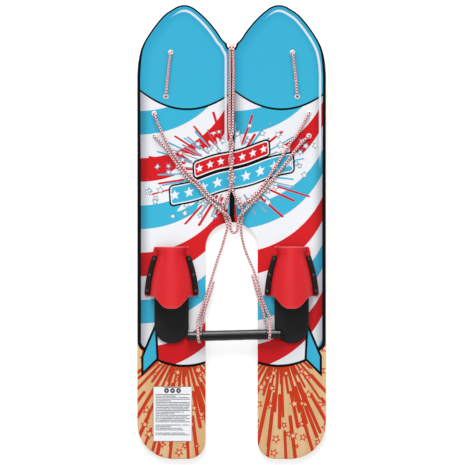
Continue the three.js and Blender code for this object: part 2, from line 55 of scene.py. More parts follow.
# ---- sizes shared with the CAD, in millimetres ----
LENGTH, WIDTH, THICKNESS = 1133, 471, 13
ROCKER_RADIUS = 1925
TIP_X = 118
NOTCH_Y, NOTCH_RADIUS = 457, 11
SIDE_END = 392                             # where the straight sides turn in to the tips
CUTOUT_RADIUS, CUTOUT_Y = 65, -40
TAIL_OUTER_RADIUS, TAIL_INNER_RADIUS = 90, 45
GAP = 0.3
ROPE_D = 6.4
EYELETS = ((152, 450), (164, 340), (193, 297.5), (193, 241))
EYELET_BORE, EYELET_BARREL, EYELET_FLANGE, EYELET_RIM = 3.8, 5.0, 6.5, 1.2       # radii, and the rim's height
BINDING_X = 150
PAD_THICKNESS, PAD_HALF_WIDTH, PAD_FRONT, PAD_HEEL = 7.5, 43, -50, -278
STRAP_THICKNESS, STRAP_FRONT, STRAP_REAR, STRAP_TONGUE = 3, -36, -160, 31
STRAP_FRONT_HEIGHT, STRAP_REAR_HEIGHT = 30, 68
PLATE_FRONT, PLATE_REAR, PLATE_WIDTH, PLATE_THICKNESS = -57, -157, 13.4, 5
PLATE_OFFSET, PLATE_FLARE, PLATE_CURL = 40, 37.6, 16.6       # from the binding's middle, rearwards
SCREW_PLACES = (0.1, 0.5, 0.9)
BAR_X, BAR_Y, BAR_TILT = 7, -257, 0.0253
BAR_LENGTH, BAR_RADIUS, BAR_WALL = 237, 11.2, 1.8
GRIP_LENGTH, GRIP_RADIUS = 163, 13
BAR_Z = THICKNESS + GAP + PAD_THICKNESS + GAP + BAR_RADIUS + GAP
HINGE_X, HINGE_Y, HINGE_Z = 6, 10, 16.8
EYE_RADIUS = BAR_RADIUS + 0.9 + ROPE_D / 2
LABEL_X, LABEL_Y, LABEL_WIDTH, LABEL_HEIGHT = -147.5, -454, 97, 137
LABEL_THICKNESS, LABEL_CORNER = 0.4, 4
DECK = THICKNESS + GAP                     # what lies flat on the board starts here


def underside_z(y):
    return 0.0 if y <= 0 else ROCKER_RADIUS - math.sqrt(ROCKER_RADIUS ** 2 - y * y)


def top_z(y):
    if y <= 0:
        return THICKNESS
    return ROCKER_RADIUS - math.sqrt((ROCKER_RADIUS - THICKNESS) ** 2 - y * y)


def slope_at(y):
    return 0.0 if y <= 0 else math.asin(y / (ROCKER_RADIUS - THICKNESS / 2))


# ---- shader arithmetic: numbers in a node tree, combined with plain operators ----
def operation(kind, swapped=False):
    """A function that puts a number and any others through a math node."""
    def combine(number, *others):
        values = (number, *others)
        return number.shader.math(kind, *(values[::-1] if swapped else values))
    return combine


class Num:
    """A number that a node gives."""

    def __init__(self, shader, socket):
        self.shader, self.socket = shader, socket

    __add__, __radd__ = operation("ADD"), operation("ADD", swapped=True)
    __sub__, __rsub__ = operation("SUBTRACT"), operation("SUBTRACT", swapped=True)
    __mul__, __rmul__ = operation("MULTIPLY"), operation("MULTIPLY", swapped=True)
    __truediv__, __abs__ = operation("DIVIDE"), operation("ABSOLUTE")
    floor, frac, sqrt = operation("FLOOR"), operation("FRACT"), operation("SQRT")
    sin, cos = operation("SINE"), operation("COSINE")

    def __neg__(self):
        return self * -1.0


least, most, soft_least = operation("MINIMUM"), operation("MAXIMUM"), operation("SMOOTH_MIN")
bearing = operation("ARCTAN2")


class Shader:
    """A material's node tree."""

    def __init__(self, name):
        self.material = bpy.data.materials.new(name)
        self.material.use_nodes = True
        self.tree = self.material.node_tree
        self.bsdf = next(n for n in self.tree.nodes if n.type == "BSDF_PRINCIPLED")

    def node(self, kind, inputs, **settings):
        """A new node; inputs gives its sockets, by name or number, a value or a link."""
        made = self.tree.nodes.new(kind)
        for key, value in settings.items():
            setattr(made, key, value)
        for key, value in inputs.items():
            self.feed(made.inputs[key], value)
        return made

    def feed(self, socket, value):
        if isinstance(value, Num):
            value = value.socket
        if isinstance(value, bpy.types.NodeSocket):
            self.tree.links.new(value, socket)
        else:
            socket.default_value = linear(value) if isinstance(value, str) else value

    def math(self, operation, *values, clamp=False):
        made = self.node("ShaderNodeMath", dict(enumerate(values)), operation=operation, use_clamp=clamp)
        return Num(self, made.outputs[0])

    def split(self, vector, kind="XYZ"):
        """The three numbers of a vector or a colour."""
        return [Num(self, socket) for socket in self.node(f"ShaderNodeSeparate{kind}", {0: vector}).outputs]

    def position(self):
        """x, y and z in the object's own frame, in millimetres."""
        coordinates = self.node("ShaderNodeTexCoord", {}).outputs["Object"]
        return [number * 1000.0 for number in self.split(coordinates)]

    def attribute(self, name):
        return Num(self, self.node("ShaderNodeAttribute", {}, attribute_name=name).outputs["Fac"])

    def bump(self, height, strength, distance):
        made = self.node("ShaderNodeBump", {"Height": height, "Strength": strength, "Distance": distance})
        self.feed(self.bsdf.inputs["Normal"], made.outputs["Normal"])

    def surface(self, color, roughness, **plain):
        """The finished material; plain gives other sockets of its surface, with _ for a space."""
        for name, value in {"Base_Color": color, "Roughness": roughness, **plain}.items():
            self.feed(self.bsdf.inputs[name.replace("_", " ")], value)
        return self.material


def linear(screen_colour):
    """Linear colour of a screen colour written as RRGGBB."""
    parts = [int(screen_colour[i:i + 2], 16) / 255 for i in (0, 2, 4)]
    return (*(c / 12.92 if c <= 0.04045 else ((c + 0.055) / 1.055) ** 2.4 for c in parts), 1.0)


def inside(distance, soft=0.5):
    """1 where a signed distance in millimetres is negative, 0 where it is positive."""
    return distance.shader.math("MULTIPLY_ADD", distance, -1.0 / soft, 0.5, clamp=True)


def band(value, low, high, soft=0.5):
    """1 where the value lies between two numbers."""
    middle, half = (low + high) / 2, (high - low) / 2
    return inside(abs(value - middle) - half, soft)


def ramp(value, low, high):
    """0 at low, 1 at high, smooth in between."""
    made = value.shader.node("ShaderNodeMapRange", {"Value": value, "From Min": low, "From Max": high},
                             interpolation_type="SMOOTHSTEP")
    return Num(value.shader, made.outputs["Result"])


def mix(mask, below, above, blend="MIX"):
    """Two colours mixed by a mask."""
    made = mask.shader.node("ShaderNodeMix", {"Factor": mask, 6: below, 7: above}, data_type="RGBA",
                            blend_type=blend)
    return made.outputs[2]


def paint(ground, edge, *layers, where=1.0):
    """The ground with a shape on it: each layer is how far it reaches past the edge, and its colour."""
    for reach, ink in layers:
        ground = mix(inside(edge - reach) * where, ground, ink)
    return ground


def vector(point):
    return point[0].shader.node("ShaderNodeCombineXYZ", dict(enumerate(point))).outputs[0]


def noise(point, scale, detail=3.0, roughness=0.5):
    shader = point[0].shader
    made = shader.node("ShaderNodeTexNoise", {"Vector": vector(point), "Scale": scale, "Detail": detail,
                                              "Roughness": roughness})
    return Num(shader, made.outputs["Fac"])


def random_numbers(index):
    """Three random numbers that belong to a whole number."""
    made = index.shader.node("ShaderNodeTexWhiteNoise", {"W": index}, noise_dimensions="1D")
    return index.shader.split(made.outputs["Color"], "Color")


INK_BLUE, INK_RED, INK_WHITE = "38AACB", "C9181F", "E0E2E6"
INK_BLACK, INK_GREY, RAY_RED = "020203", "8E99A6", "CB3319"


# ---- the printed picture on the board ----
def wood(x, y):
    """Colour of light plywood, with the grain along the board."""
    broad = noise((x * 0.05, y * 0.0022), 1.6, 4.0)
    rings = (x * 0.11 + broad * 9.0).sin() * 0.5 + 0.5
    fine = noise((x * 0.9, y * 0.02), 1.4, 3.0)
    light = mix(rings * 0.55, "DCB88B", "CB9F6D")
    streaked = mix(ramp(fine, 0.45, 0.8) * 0.45, light, "B98D5C")
    return streaked, fine


def star_distance(x, y, radius, turn):
    """Signed distance to a five-pointed star's edge, negative inside."""
    fifth, inner = 2 * math.pi / 5, 0.46       # inner is the notches' share of the tips' radius
    folded = abs(((bearing(y, x) + turn) / fifth).frac() - 0.5) * fifth
    length = (x * x + y * y).sqrt()
    along, across = length * folded.cos(), length * folded.sin()
    # the edge runs from a tip on the fold's axis to the notch half a fifth round
    notch_x, notch_y = inner * math.cos(fifth / 2), inner * math.sin(fifth / 2)
    run, rise = notch_x - 1.0, notch_y
    scale = math.hypot(run, rise)
    return (along - radius) * (rise / scale) - across * (run / scale)


def star_field(x, y, cell, smallest, largest):
    """One little star at a random place in every cell: its edge distance and three random numbers."""
    voronoi = x.shader.node("ShaderNodeTexVoronoi", {"Scale": 1.0, "Randomness": 0.75,
                                                     "Vector": vector((x / cell, y / cell))},
                            voronoi_dimensions="2D", feature="F1")
    centre_x, centre_y, _ = x.shader.split(voronoi.outputs["Position"])
    chances = x.shader.split(voronoi.outputs["Color"], "Color")
    radius = chances[0] * (largest - smallest) + smallest
    return star_distance(x - centre_x * cell, y - centre_y * cell, radius, chances[1] * 6.3), chances


def ray_field(x, y, sectors, seed, start, reach, width):
    """Round-ended rays out of x = y = 0, one in every sector: edge distance and random numbers."""
    turn = bearing(x, -y) * (sectors / (2 * math.pi)) + seed
    index = turn.floor()
    chances = random_numbers(index + seed * 7.0)
    length = (x * x + y * y).sqrt()
    lateral = (turn - index - 0.5) * (2 * math.pi / sectors) * length
    nearest = chances[0] * (start[1] - start[0]) + start[0]
    farthest = chances[1] * (reach[1] - reach[0]) + reach[0]
    half = chances[2] * (width[1] - width[0]) + width[0]
    beyond = most(most(length - farthest, nearest - length), 0.0)
    return (lateral * lateral + beyond * beyond).sqrt() - half, chances


def polygon_distance(x, y, corners):
    """Signed distance to a convex polygon given clockwise or not, negative inside."""
    centre = (sum(c[0] for c in corners) / len(corners), sum(c[1] for c in corners) / len(corners))
    result = None
    for (ax, ay), (bx, by) in zip(corners, corners[1:] + corners[:1]):
        nx, ny = by - ay, ax - bx
        size = math.hypot(nx, ny)
        nx, ny = nx / size, ny / size
        offset = nx * ax + ny * ay
        if nx * centre[0] + ny * centre[1] > offset:
            nx, ny, offset = -nx, -ny, -offset
        side = x * nx + y * ny - offset
        result = side if result is None else most(result, side)
    return result


STRIPE, STRIPE_RADIUS, STRIPE_TOP = 59.0, 245.0, 303.1        # width, bend, top of the first one
ROCKET_SHIFT = 235.0                       # the second rocket is the first one moved sideways
ROCKET_EDGE, ROCKET_WIDTH = -229.0, 236.0
# shallow arcs across a rocket: the middle, the height there and how fast it rises to both sides
NOSE_ARC, TAIL_ARC = (-110.7, 307.1, 0.0034), (-118.0, -334.0, 0.0033)
LINE = 9.0                                 # black outline along the board's edge, thinner at the tips
GLEAM_IN, GLEAM_HALF = 14.5, 2.9           # light line: how far inside the edge, and its half width
BODY_END, BODY_CORNER = -272.0, 27.0       # where the outline turns in towards the fin
FIN_SIDE = -188.0                          # the fin covers the body's corner as far in as this
FIN = [(-189.5, -232), (-185.5, -316.5), (-222.5, -353), (-222.5, -310.5)]
RAYS_X, RAYS_Y = 122.0, -270.0             # where the sparks under each rocket fan out from
BURST_X, BURST_Y, BURST_HALF, BURST_HEIGHT = 0.0, 150.0, 172.0, 84.0
BANNER_TILT = math.radians(16)
RIBBON_CORNER, RIBBON_WHITE, RIBBON_BLACK = 5.0, 2.8, 7.2     # corner radius, reach of the two borders
# two slanted ribbons: centre along and across the tilt, half length, half height, colour
RIBBONS = ((8.8, 31.5, 94.0, 15.0, INK_RED), (-4.4, -17.0, 156.0, 20.0, INK_BLUE))


def above_arc(x, y, middle, level, bend):
    """How far a point is above a shallow arc."""
    across = x - middle
    return y - level - across * across * bend


def printed_board():
    shader = Shader("printed_board")
    x, y, _ = shader.position()
    rim = shader.attribute("rim")
    right = inside(-x)
    local = x - right * ROCKET_SHIFT              # both rockets in the left one's place
    mirrored = -abs(x)
    color, _ = wood(x, y)

    # stripes: arcs that are level at each rocket's left edge and climb to the right
    across = most(least(local - ROCKET_EDGE, ROCKET_WIDTH), 0.0)
    climb = STRIPE_RADIUS - (STRIPE_RADIUS ** 2 - across * across).sqrt()
    step = (STRIPE_TOP - y + climb) / STRIPE
    phase = (step / 4.0).frac() * 4.0
    soft = 0.5 / STRIPE
    stripes = mix(band(phase, 0.0, 1.0, soft), INK_WHITE, INK_BLUE)
    stripes = mix(band(phase, 2.0, 3.0, soft), stripes, INK_RED)

    # nose cone over a round black line
    nose_line = above_arc(local, y, *NOSE_ARC)
    nose = inside(-nose_line)
    stripes = mix(nose, stripes, INK_BLUE)
    own_edge = least(least(rim, abs(x)), WIDTH / 2 + mirrored)
    stripes = mix((1.0 - ramp(own_edge, 8.0, 40.0)) * nose * 0.5, stripes, "1F8DB8")

    # soft grey towards both sides of each rocket, as on a cylinder
    dark = (1.0 - ramp(own_edge, 2.0, 38.0)) * 0.85
    stripes = mix(dark * inside(nose_line), stripes, "92949C", "MULTIPLY")
    stripes = burst(x, y, stripes)

    # nose arc, then the light line inside each rocket's right side, tapered at the tip
    stripes = mix(inside(abs(nose_line) - 2.6), stripes, INK_BLACK)
    near_centre = soft_least(rim, most(-local, 0.0) + right * 900.0, 14.0)
    gleam = inside(abs(near_centre - GLEAM_IN) - GLEAM_HALF * ramp(local, -165.0, -112.0))
    gleam = gleam * inside(-162.0 - local) * ramp(local, -166.0, -118.0)
    stripes = mix(gleam * ramp(y, 150.0, 235.0) * 0.85, stripes, INK_WHITE)

    # the rocket's body ends in a round line over the bare wood
    tail_line = above_arc(mirrored, y, *TAIL_ARC)
    turn_x, turn_y = least(mirrored + WIDTH / 2 - BODY_CORNER, 0.0), least(y - BODY_END, 0.0)
    turn = (turn_x * turn_x + turn_y * turn_y).sqrt() - BODY_CORNER
    body = most(-tail_line, least(turn, FIN_SIDE - mirrored))
    color = mix(inside(body), rays_on_wood(x, y, color), stripes)

    # black outline, the double line down the middle, and the lines round the body's end
    line = LINE - ramp(y, 60.0, 300.0) * 1.3 - ramp(y, 400.0, 490.0) * 3.5
    outline = inside(rim - line) * inside(BODY_END - y)
    outline = most(outline, inside(abs(x - 1.0) - 6.4) * inside(-y))
    outer = inside(mirrored - FIN_SIDE - 2.0)
    outline = most(outline, inside(abs(turn + LINE / 2) - LINE / 2) * outer * inside(y - BODY_END))
    outline = most(outline, inside(abs(tail_line) - 3.3) * (1.0 - outer))
    color = mix(outline, color, INK_BLACK)

    color = paint(color, polygon_distance(mirrored, y, FIN), (3.4, INK_BLACK), (-2.4, INK_BLUE))
    color = ribbons(x, y, color)

    scuffs = noise((x * 0.02, y * 0.02, 0.3), 2.2, 5.0, 0.65)
    shader.bump(noise((x, y), 0.12, 2.0), 0.05, 0.0004)
    return shader.surface(color, scuffs * 0.12 + 0.24, Specular_IOR_Level=0.16)


def banner_axes(x, y):
    """Distances along and across the banner's slant."""
    cos, sin = math.cos(BANNER_TILT), math.sin(BANNER_TILT)
    dx, dy = x - BURST_X, y - BURST_Y
    return dx * cos + dy * sin, dy * cos - dx * sin


def burst(x, y, ground):
    """A ragged white flash with rays and little stars round it."""
    along, up = banner_axes(x, y)
    wide, high = along / BURST_HALF, up / BURST_HEIGHT
    reach = (wide * wide + high * high).sqrt()
    turn = bearing(up, along)
    teeth = abs((turn * 3.6).frac() - 0.5) + abs((turn * 5.1 + 0.3).frac() - 0.5)
    ground = mix(inside(reach - 0.72 - teeth * 0.46, 0.01), ground, INK_WHITE)

    flat_y = (y - BURST_Y) * 1.4
    for sectors, seed, ink, start, length, width in (
            (36, 0.31, INK_GREY, (80, 112), (112, 172), (1.2, 3.0)),
            (30, 0.77, INK_BLUE, (90, 130), (135, 205), (1.2, 3.0)),
            (40, 0.13, INK_RED, (84, 130), (130, 215), (1.6, 3.6))):
        edge, chances = ray_field(x - BURST_X, flat_y, sectors, seed, start, length, width)
        ground = mix(inside(edge) * inside(0.42 - chances[2], 0.01), ground, ink)

    region = inside(reach - 1.3, 0.01)
    for shift, cell, sizes, share, line_ink in (((0.0, 0.0), 33.0, (4.6, 8.6), 0.28, "6F7E8C"),
                                                ((411.0, 97.0), 40.0, (4.0, 7.2), 0.36, "2C86A8")):
        edge, chances = star_field(x + shift[0], y + shift[1], cell, *sizes)
        chosen = inside(share - chances[2], 0.01) * region
        ground = paint(ground, edge, (1.4, line_ink), (0.0, INK_WHITE), where=chosen)
    return ground


def ribbons(x, y, ground):
    """Two plain slanted ribbons with a row of stars on each, outlined in white and black."""
    along, up = banner_axes(x, y)
    shapes = []
    for centre, level, half, height, ink in RIBBONS:
        wave = (along * 0.045).sin() * 2.2
        place_x, place_y = along - centre - (up - level) * 0.22, up - level + wave
        outside_x = most(abs(place_x) - half + RIBBON_CORNER, 0.0)
        outside_y = most(abs(place_y) - height + RIBBON_CORNER, 0.0)
        distance = (outside_x * outside_x + outside_y * outside_y).sqrt() - RIBBON_CORNER
        shapes.append((place_x, place_y, distance, half, height, ink))
    for _, _, distance, *_ in shapes:
        ground = paint(ground, distance, (RIBBON_BLACK, INK_BLACK))
    for place_x, place_y, distance, half, height, ink in shapes:
        ground = paint(ground, distance, (RIBBON_WHITE, INK_WHITE), (0.0, ink))
        pitch = height * 1.85
        count = math.floor(half / pitch - 0.1)
        place = place_x / pitch
        star = star_distance(((place + 0.5).frac() - 0.5) * pitch, place_y, height * 0.68, math.pi / 10)
        ground = paint(ground, star, (0.0, INK_WHITE), where=inside(abs(place) - count - 0.5, 0.01))
    return ground


def rays_on_wood(x, y, ground):
    """Sparks under each rocket: red rays that fan out over the bare wood, and outlined stars."""
    side = inside(-x) * 2.0 - 1.0
    dx, dy = (abs(x) - RAYS_X) * side, y - RAYS_Y
    cone = inside(abs(dx) + dy * 1.5)
    for sectors, seed, start, reach, width, share in (
            (56, 0.2, (40, 64), (95, 190), (1.7, 3.1), 0.66),
            (90, 0.45, (40, 60), (70, 110), (1.2, 2.0), 0.5),
            (60, 0.6, (110, 180), (200, 300), (2.6, 4.2), 0.6),
            (80, 0.9, (170, 235), (250, 340), (2.4, 3.8), 0.62)):
        edge, chances = ray_field(dx, dy, sectors, seed, start, reach, width)
        chosen = inside(chances[2] * 0.5 + chances[0] * 0.5 - share, 0.001) * cone
        ground = paint(ground, edge, (0.9, "8A3A1C"), (0.0, RAY_RED), where=chosen)
    for shift, cell, sizes, share in (((31.0, 13.0), 40.0, (7.0, 11.0), 0.22),
                                      ((203.0, 71.0), 52.0, (5.0, 8.0), 0.3)):
        edge, chances = star_field(x + shift[0], y + shift[1], cell, *sizes)
        chosen = inside(share - chances[2], 0.01)
        ground = paint(ground, edge, (1.2, "C4391F"), (-1.3, "E3BE92"), where=chosen)
    return ground


# ---- other materials ----
def bare_wood():
    shader = Shader("board_underside")
    x, y, _ = shader.position()
    color, fine = wood(x, y)
    shader.bump(fine, 0.08, 0.0003)
    return shader.surface(color, fine * 0.15 + 0.3, Coat_Weight=0.3, Coat_Roughness=0.15)


def ply_edge():
    shader = Shader("plywood_edge")
    x, y, z = shader.position()
    height = z - (y * inside(-y)) * (y / (2.0 * ROCKER_RADIUS))
    layer = inside((height / 3.4).frac() - 0.5, 0.12)
    grain = noise((x * 0.3, y * 0.3, z * 3.0), 1.5, 4.0)
    color = mix(layer * 0.8, "C9A072", "8B6238")
    color = mix(grain * 0.5, color, "6E4B2A")
    shader.bump(grain, 0.25, 0.0004)
    return shader.surface(color, grain * 0.2 + 0.4)


def red_rubber():
    shader = Shader("red_rubber")
    x, y, z = shader.position()
    cloud = noise((x, y, z), 0.02, 4.0)
    fine = noise((x, y, z), 1.3, 2.0)
    color = mix(cloud, "BA0512", "C80C1A")
    # painted highlight: a lighter pink near the strap's front and rear edges, where the rounded rim would
    # catch light
    color = mix(shader.attribute("edge") * 0.5, color, "F08C92")
    shader.bump(fine, 0.12, 0.0003)
    return shader.surface(color, cloud * 0.16 + 0.48, Specular_IOR_Level=0.3)


def black_foam():
    shader = Shader("black_foam")
    x, y, z = shader.position()
    pores = noise((x, y, z), 0.9, 4.0, 0.7)
    cloud = noise((x, y, z), 0.03, 3.0)
    color = mix(cloud * 0.7 + pores * 0.3, "121213", "232324")
    shader.bump(pores, 0.35, 0.0005)
    return shader.surface(color, pores * 0.15 + 0.6, Specular_IOR_Level=0.2)


def moulded_plastic(name, dark, light, roughness, specular=0.5):
    shader = Shader(name)
    x, y, z = shader.position()
    texture = noise((x, y, z), 1.8, 3.0)
    cloud = noise((x, y, z), 0.05, 3.0)
    color = mix(cloud, dark, light)
    shader.bump(texture, 0.12, 0.0002)
    return shader.surface(color, texture * 0.14 + roughness, Specular_IOR_Level=specular)


def gloss_tube():
    shader = Shader("gloss_tube")
    x, y, z = shader.position()
    scratches = noise((x * 2.2, y * 0.2, z * 0.2), 1.0, 4.0)
    color = mix(scratches, "070708", "101011")
    return shader.surface(color, scratches * 0.12 + 0.1, Specular_IOR_Level=0.3, Coat_Weight=0.4,
                          Coat_Roughness=0.08)


def dark_steel():
    shader = Shader("dark_steel")
    x, y, z = shader.position()
    wear = noise((x, y, z), 0.9, 3.0)
    color = mix(wear, "303234", "5A5D60")
    return shader.surface(color, wear * 0.2 + 0.28, Metallic=0.85)


def braid():
    """White braid of sixteen strands, with rows of red flecks, drawn on the rope's own map."""
    shader = Shader("braided_rope")
    around, along, _ = shader.split(shader.node("ShaderNodeUVMap", {}, uv_map="braid").outputs[0])
    one_way, other_way = around + along, around - along
    first, second = one_way * 8.0, other_way * 8.0
    over = inside(((first.floor() + second.floor()) / 2.0).frac() - 0.25, 0.02)
    flecks = inside(abs((one_way * 2.0).frac() - 0.5) - 0.37, 0.05)
    flecks = flecks * inside(abs((other_way * 2.0).frac() - 0.5) - 0.37, 0.05)
    yarn = abs(first.frac() - 0.5) * over + abs(second.frac() - 0.5) * (1.0 - over)
    fibres = noise((around * 30.0, along * 30.0), 4.0, 3.0)
    color = mix(fibres * 0.3, "FBF7F6", "E2DAD9")
    color = mix(flecks, color, "B00A26")
    # painted shade: darker towards the edges of each strand, in the grooves between strands
    color = mix(ramp(yarn, 0.30, 0.5) * 0.4, color, "7A6468", "MULTIPLY")
    height = 1.0 - yarn * yarn * 4.0 + fibres * 0.15
    shader.bump(height, 0.7, 0.0006)
    return shader.surface(color, fibres * 0.2 + 0.55)


def sticker():
    """A plain information label: a red bar, three dots and rows of grey dashes in place of print."""
    shader = Shader("sticker")
    x, y, _ = shader.position()
    u = (x - (LABEL_X - LABEL_WIDTH / 2)) / LABEL_WIDTH
    v = ((LABEL_Y + LABEL_HEIGHT / 2) - y) / LABEL_HEIGHT
    row = v * 34.0 - 4.4
    line = inside(abs(row.frac() - 0.5) - 0.27, 0.1)
    chances = random_numbers(row.floor())
    word = noise((u * 26.0, row.floor() * 3.7), 1.0, 2.0, 0.9)
    margin = band(u, 0.06, 0.94, 0.01) * inside(u - 0.45 - chances[0] * 0.9, 0.01)
    rows = band(row, 0.0, 27.0, 0.02) * inside(0.12 - chances[1], 0.02)
    text = line * margin * rows * ramp(word, 0.32, 0.46)
    color = mix(text * 0.9, "ECEDF0", "5A6066")
    frame_x, frame_y = 0.5 - abs(u - 0.5), 0.5 - abs(v - 0.5)
    border = inside(least(frame_x * LABEL_WIDTH, frame_y * LABEL_HEIGHT) - 0.9)
    color = mix(border, color, "55585C")
    bar = band(u, 0.28, 0.72, 0.01) * band(v, 0.014, 0.028, 0.004)
    color = mix(bar, color, "8E2F28")
    for k in (-1, 0, 1):
        dx, dy = (u - 0.5 - k * 0.155) * LABEL_WIDTH, (v - 0.075) * LABEL_HEIGHT
        ring = (dx * dx + dy * dy).sqrt()
        color = paint(color, ring, (6.0, "2A2C2E"), (2.0, "D8DADC"))
    shader.bump(noise((x, y), 0.06, 2.0), 0.05, 0.0003)
    return shader.surface(color, word * 0.08 + 0.38)


# ---- mesh making ----
def add_piece(name, points, faces, material, smooth=40, uv=None, materials=None):
    """A mesh object from points in millimetres; smooth is the sharpest angle that is shaded round."""
    mesh = bpy.data.meshes.new(name)
    mesh.from_pydata([tuple(c * MM for c in p) for p in points], [], faces)
    for slot in materials or [material]:
        mesh.materials.append(slot)
    if uv is not None:
        layer = mesh.uv_layers.new(name="braid")
        layer.data.foreach_set("uv", np.asarray(uv, dtype=np.float32).ravel())
    mesh.validate()
    mesh.shade_smooth()
    if smooth < 180:
        mesh.set_sharp_from_angle(angle=math.radians(smooth))
    piece = bpy.data.objects.new(name, mesh)
    bpy.context.scene.collection.objects.link(piece)
    return piece


def stand_in(piece, nodes, body="board_assembly"):
    """Puts a piece on a body in place of its CAD nodes."""
    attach(piece, body)
    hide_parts(*nodes)


def clean(piece, merge=True):
    """Turns the faces outwards, after points that coincide are joined."""
    work = bmesh.new()
    work.from_mesh(piece.data)
    if merge:
        bmesh.ops.remove_doubles(work, verts=work.verts, dist=1e-6)
        bmesh.ops.dissolve_degenerate(work, edges=work.edges, dist=1e-7)
    bmesh.ops.recalc_face_normals(work, faces=work.faces)
    work.to_mesh(piece.data)
    work.free()


def spline_through(points, steps):
    """Uniform Catmull-Rom curve through plan points."""
    result = []
    for i in range(len(points) - 1):
        p0, p1, p2 = points[max(i - 1, 0)], points[i], points[i + 1]
        p3 = points[min(i + 2, len(points) - 1)]
        for k in range(steps):
            t = k / steps
            result.append(tuple(
                0.5 * (2 * b + (c - a) * t + (2 * a - 5 * b + 4 * c - d) * t * t
                       + (3 * b - a - 3 * c + d) * t ** 3)
                for a, b, c, d in zip(p0, p1, p2, p3)))
    return result + [tuple(points[-1])]


def arc(cx, cy, radius, start, end, steps):
    """Points of an arc, its angles in degrees."""
    angles = [math.radians(start + (end - start) * i / steps) for i in range(steps + 1)]
    return [(cx + radius * math.cos(a), cy + radius * math.sin(a)) for a in angles]


def board_outline():
    """The plan outline, counterclockwise, from the right side round the tips, tails and cut-out."""
    half, tip, tail = WIDTH / 2, LENGTH / 2, -LENGTH / 2
    outer, inner = tail + TAIL_OUTER_RADIUS, tail + TAIL_INNER_RADIUS
    tip_points = [(half, SIDE_END), (half - 3, 427), (half - 12, 463), (half - 34, 501), (half - 65, 539.5),
                  (TIP_X + 27, 557.5), (TIP_X + 13, tip - 2), (TIP_X, tip), (TIP_X - 13, tip - 2),
                  (TIP_X - 28, 556.5), (68, 538), (50, 518.5), (35, 499.5), (24, 482.5),
                  (NOTCH_RADIUS + 1.5, NOTCH_Y + 14)]
    right_tip = spline_through(tip_points, 6)

    def straight(x, start, end, count):
        return [(x, start + (end - start) * i / count) for i in range(1, count)]

    loop = straight(half, outer, SIDE_END, 90) + right_tip
    loop += arc(0, NOTCH_Y + NOTCH_RADIUS, NOTCH_RADIUS, 0, -180, 14)
    loop += [(-x, y) for x, y in reversed(right_tip)] + straight(-half, SIDE_END, outer, 90)
    loop += arc(-half + TAIL_OUTER_RADIUS, outer, TAIL_OUTER_RADIUS, 180, 270, 22)
    loop += arc(-CUTOUT_RADIUS - TAIL_INNER_RADIUS, inner, TAIL_INNER_RADIUS, 270, 360, 16)
    loop += straight(-CUTOUT_RADIUS, inner, CUTOUT_Y, 60) + arc(0, CUTOUT_Y, CUTOUT_RADIUS, 180, 0, 40)
    loop += straight(CUTOUT_RADIUS, CUTOUT_Y, inner, 60)
    loop += arc(CUTOUT_RADIUS + TAIL_INNER_RADIUS, inner, TAIL_INNER_RADIUS, 180, 270, 16)
    loop += arc(half - TAIL_OUTER_RADIUS, outer, TAIL_OUTER_RADIUS, 270, 360, 22)
    apart = [loop[0]]
    for point in loop[1:]:
        if math.dist(point, apart[-1]) > 0.6:
            apart.append(point)
    return apart


def inset(loop, distance):
    """The loop moved inwards; it runs counterclockwise."""
    count, moved = len(loop), []
    for i, (x, y) in enumerate(loop):
        ax, ay = loop[i - 1]
        bx, by = loop[(i + 1) % count]
        nx, ny = -(by - ay), bx - ax
        size = math.hypot(nx, ny)
        moved.append((x + nx / size * distance, y + ny / size * distance))
    return moved


def within(points, loop):
    """Which points lie inside a closed loop."""
    px, py = points[:, 0], points[:, 1]
    result = np.zeros(len(points), dtype=bool)
    for (ax, ay), (bx, by) in zip(loop, loop[1:] + loop[:1]):
        if ay == by:
            continue
        crosses = (ay > py) != (by > py)
        result ^= crosses & (px < (bx - ax) * (py - ay) / (by - ay) + ax)
    return result


def distance_to(points, chain, closed=False):
    """Distance of each point to a chain of plan points."""
    best = np.full(len(points), 1e9)
    pairs = zip(chain, chain[1:] + (chain[:1] if closed else []))
    for (ax, ay), (bx, by) in pairs:
        dx, dy = bx - ax, by - ay
        length = dx * dx + dy * dy or 1.0
        t = np.clip(((points[:, 0] - ax) * dx + (points[:, 1] - ay) * dy) / length, 0, 1)
        best = np.minimum(best, np.hypot(points[:, 0] - ax - t * dx, points[:, 1] - ay - t * dy))
    return best


def grid_inside(loop, xs, ys, margin):
    """Points of a grid that lie inside a loop, further from it than the margin."""
    grid = np.array([(x, y) for x in xs for y in ys])
    grid = grid[within(grid, loop)]
    return grid[distance_to(grid, loop, closed=True) > margin]


def fill(loop, holes, extra):
    """Triangles between a loop, its holes and the loose points inside."""
    points, edges = list(loop), [(i, (i + 1) % len(loop)) for i in range(len(loop))]
    for hole in holes:
        first = len(points)
        points += hole
        edges += [(first + i, first + (i + 1) % len(hole)) for i in range(len(hole))]
    points += extra
    made = delaunay_2d_cdt([Vector(p) for p in points], edges, [], 0, 1e-7)
    origin = [sources[0] if sources else -1 for sources in made[3]]
    faces = [[origin[i] for i in face] for face in made[2]]
    faces = [f for f in faces if -1 not in f]
    plan = np.array(points)
    centres = np.array([plan[f].mean(axis=0) for f in faces])
    keep = within(centres, loop)
    for hole in holes:
        keep &= ~within(centres, hole)
    return points, [f for f, k in zip(faces, keep) if k]


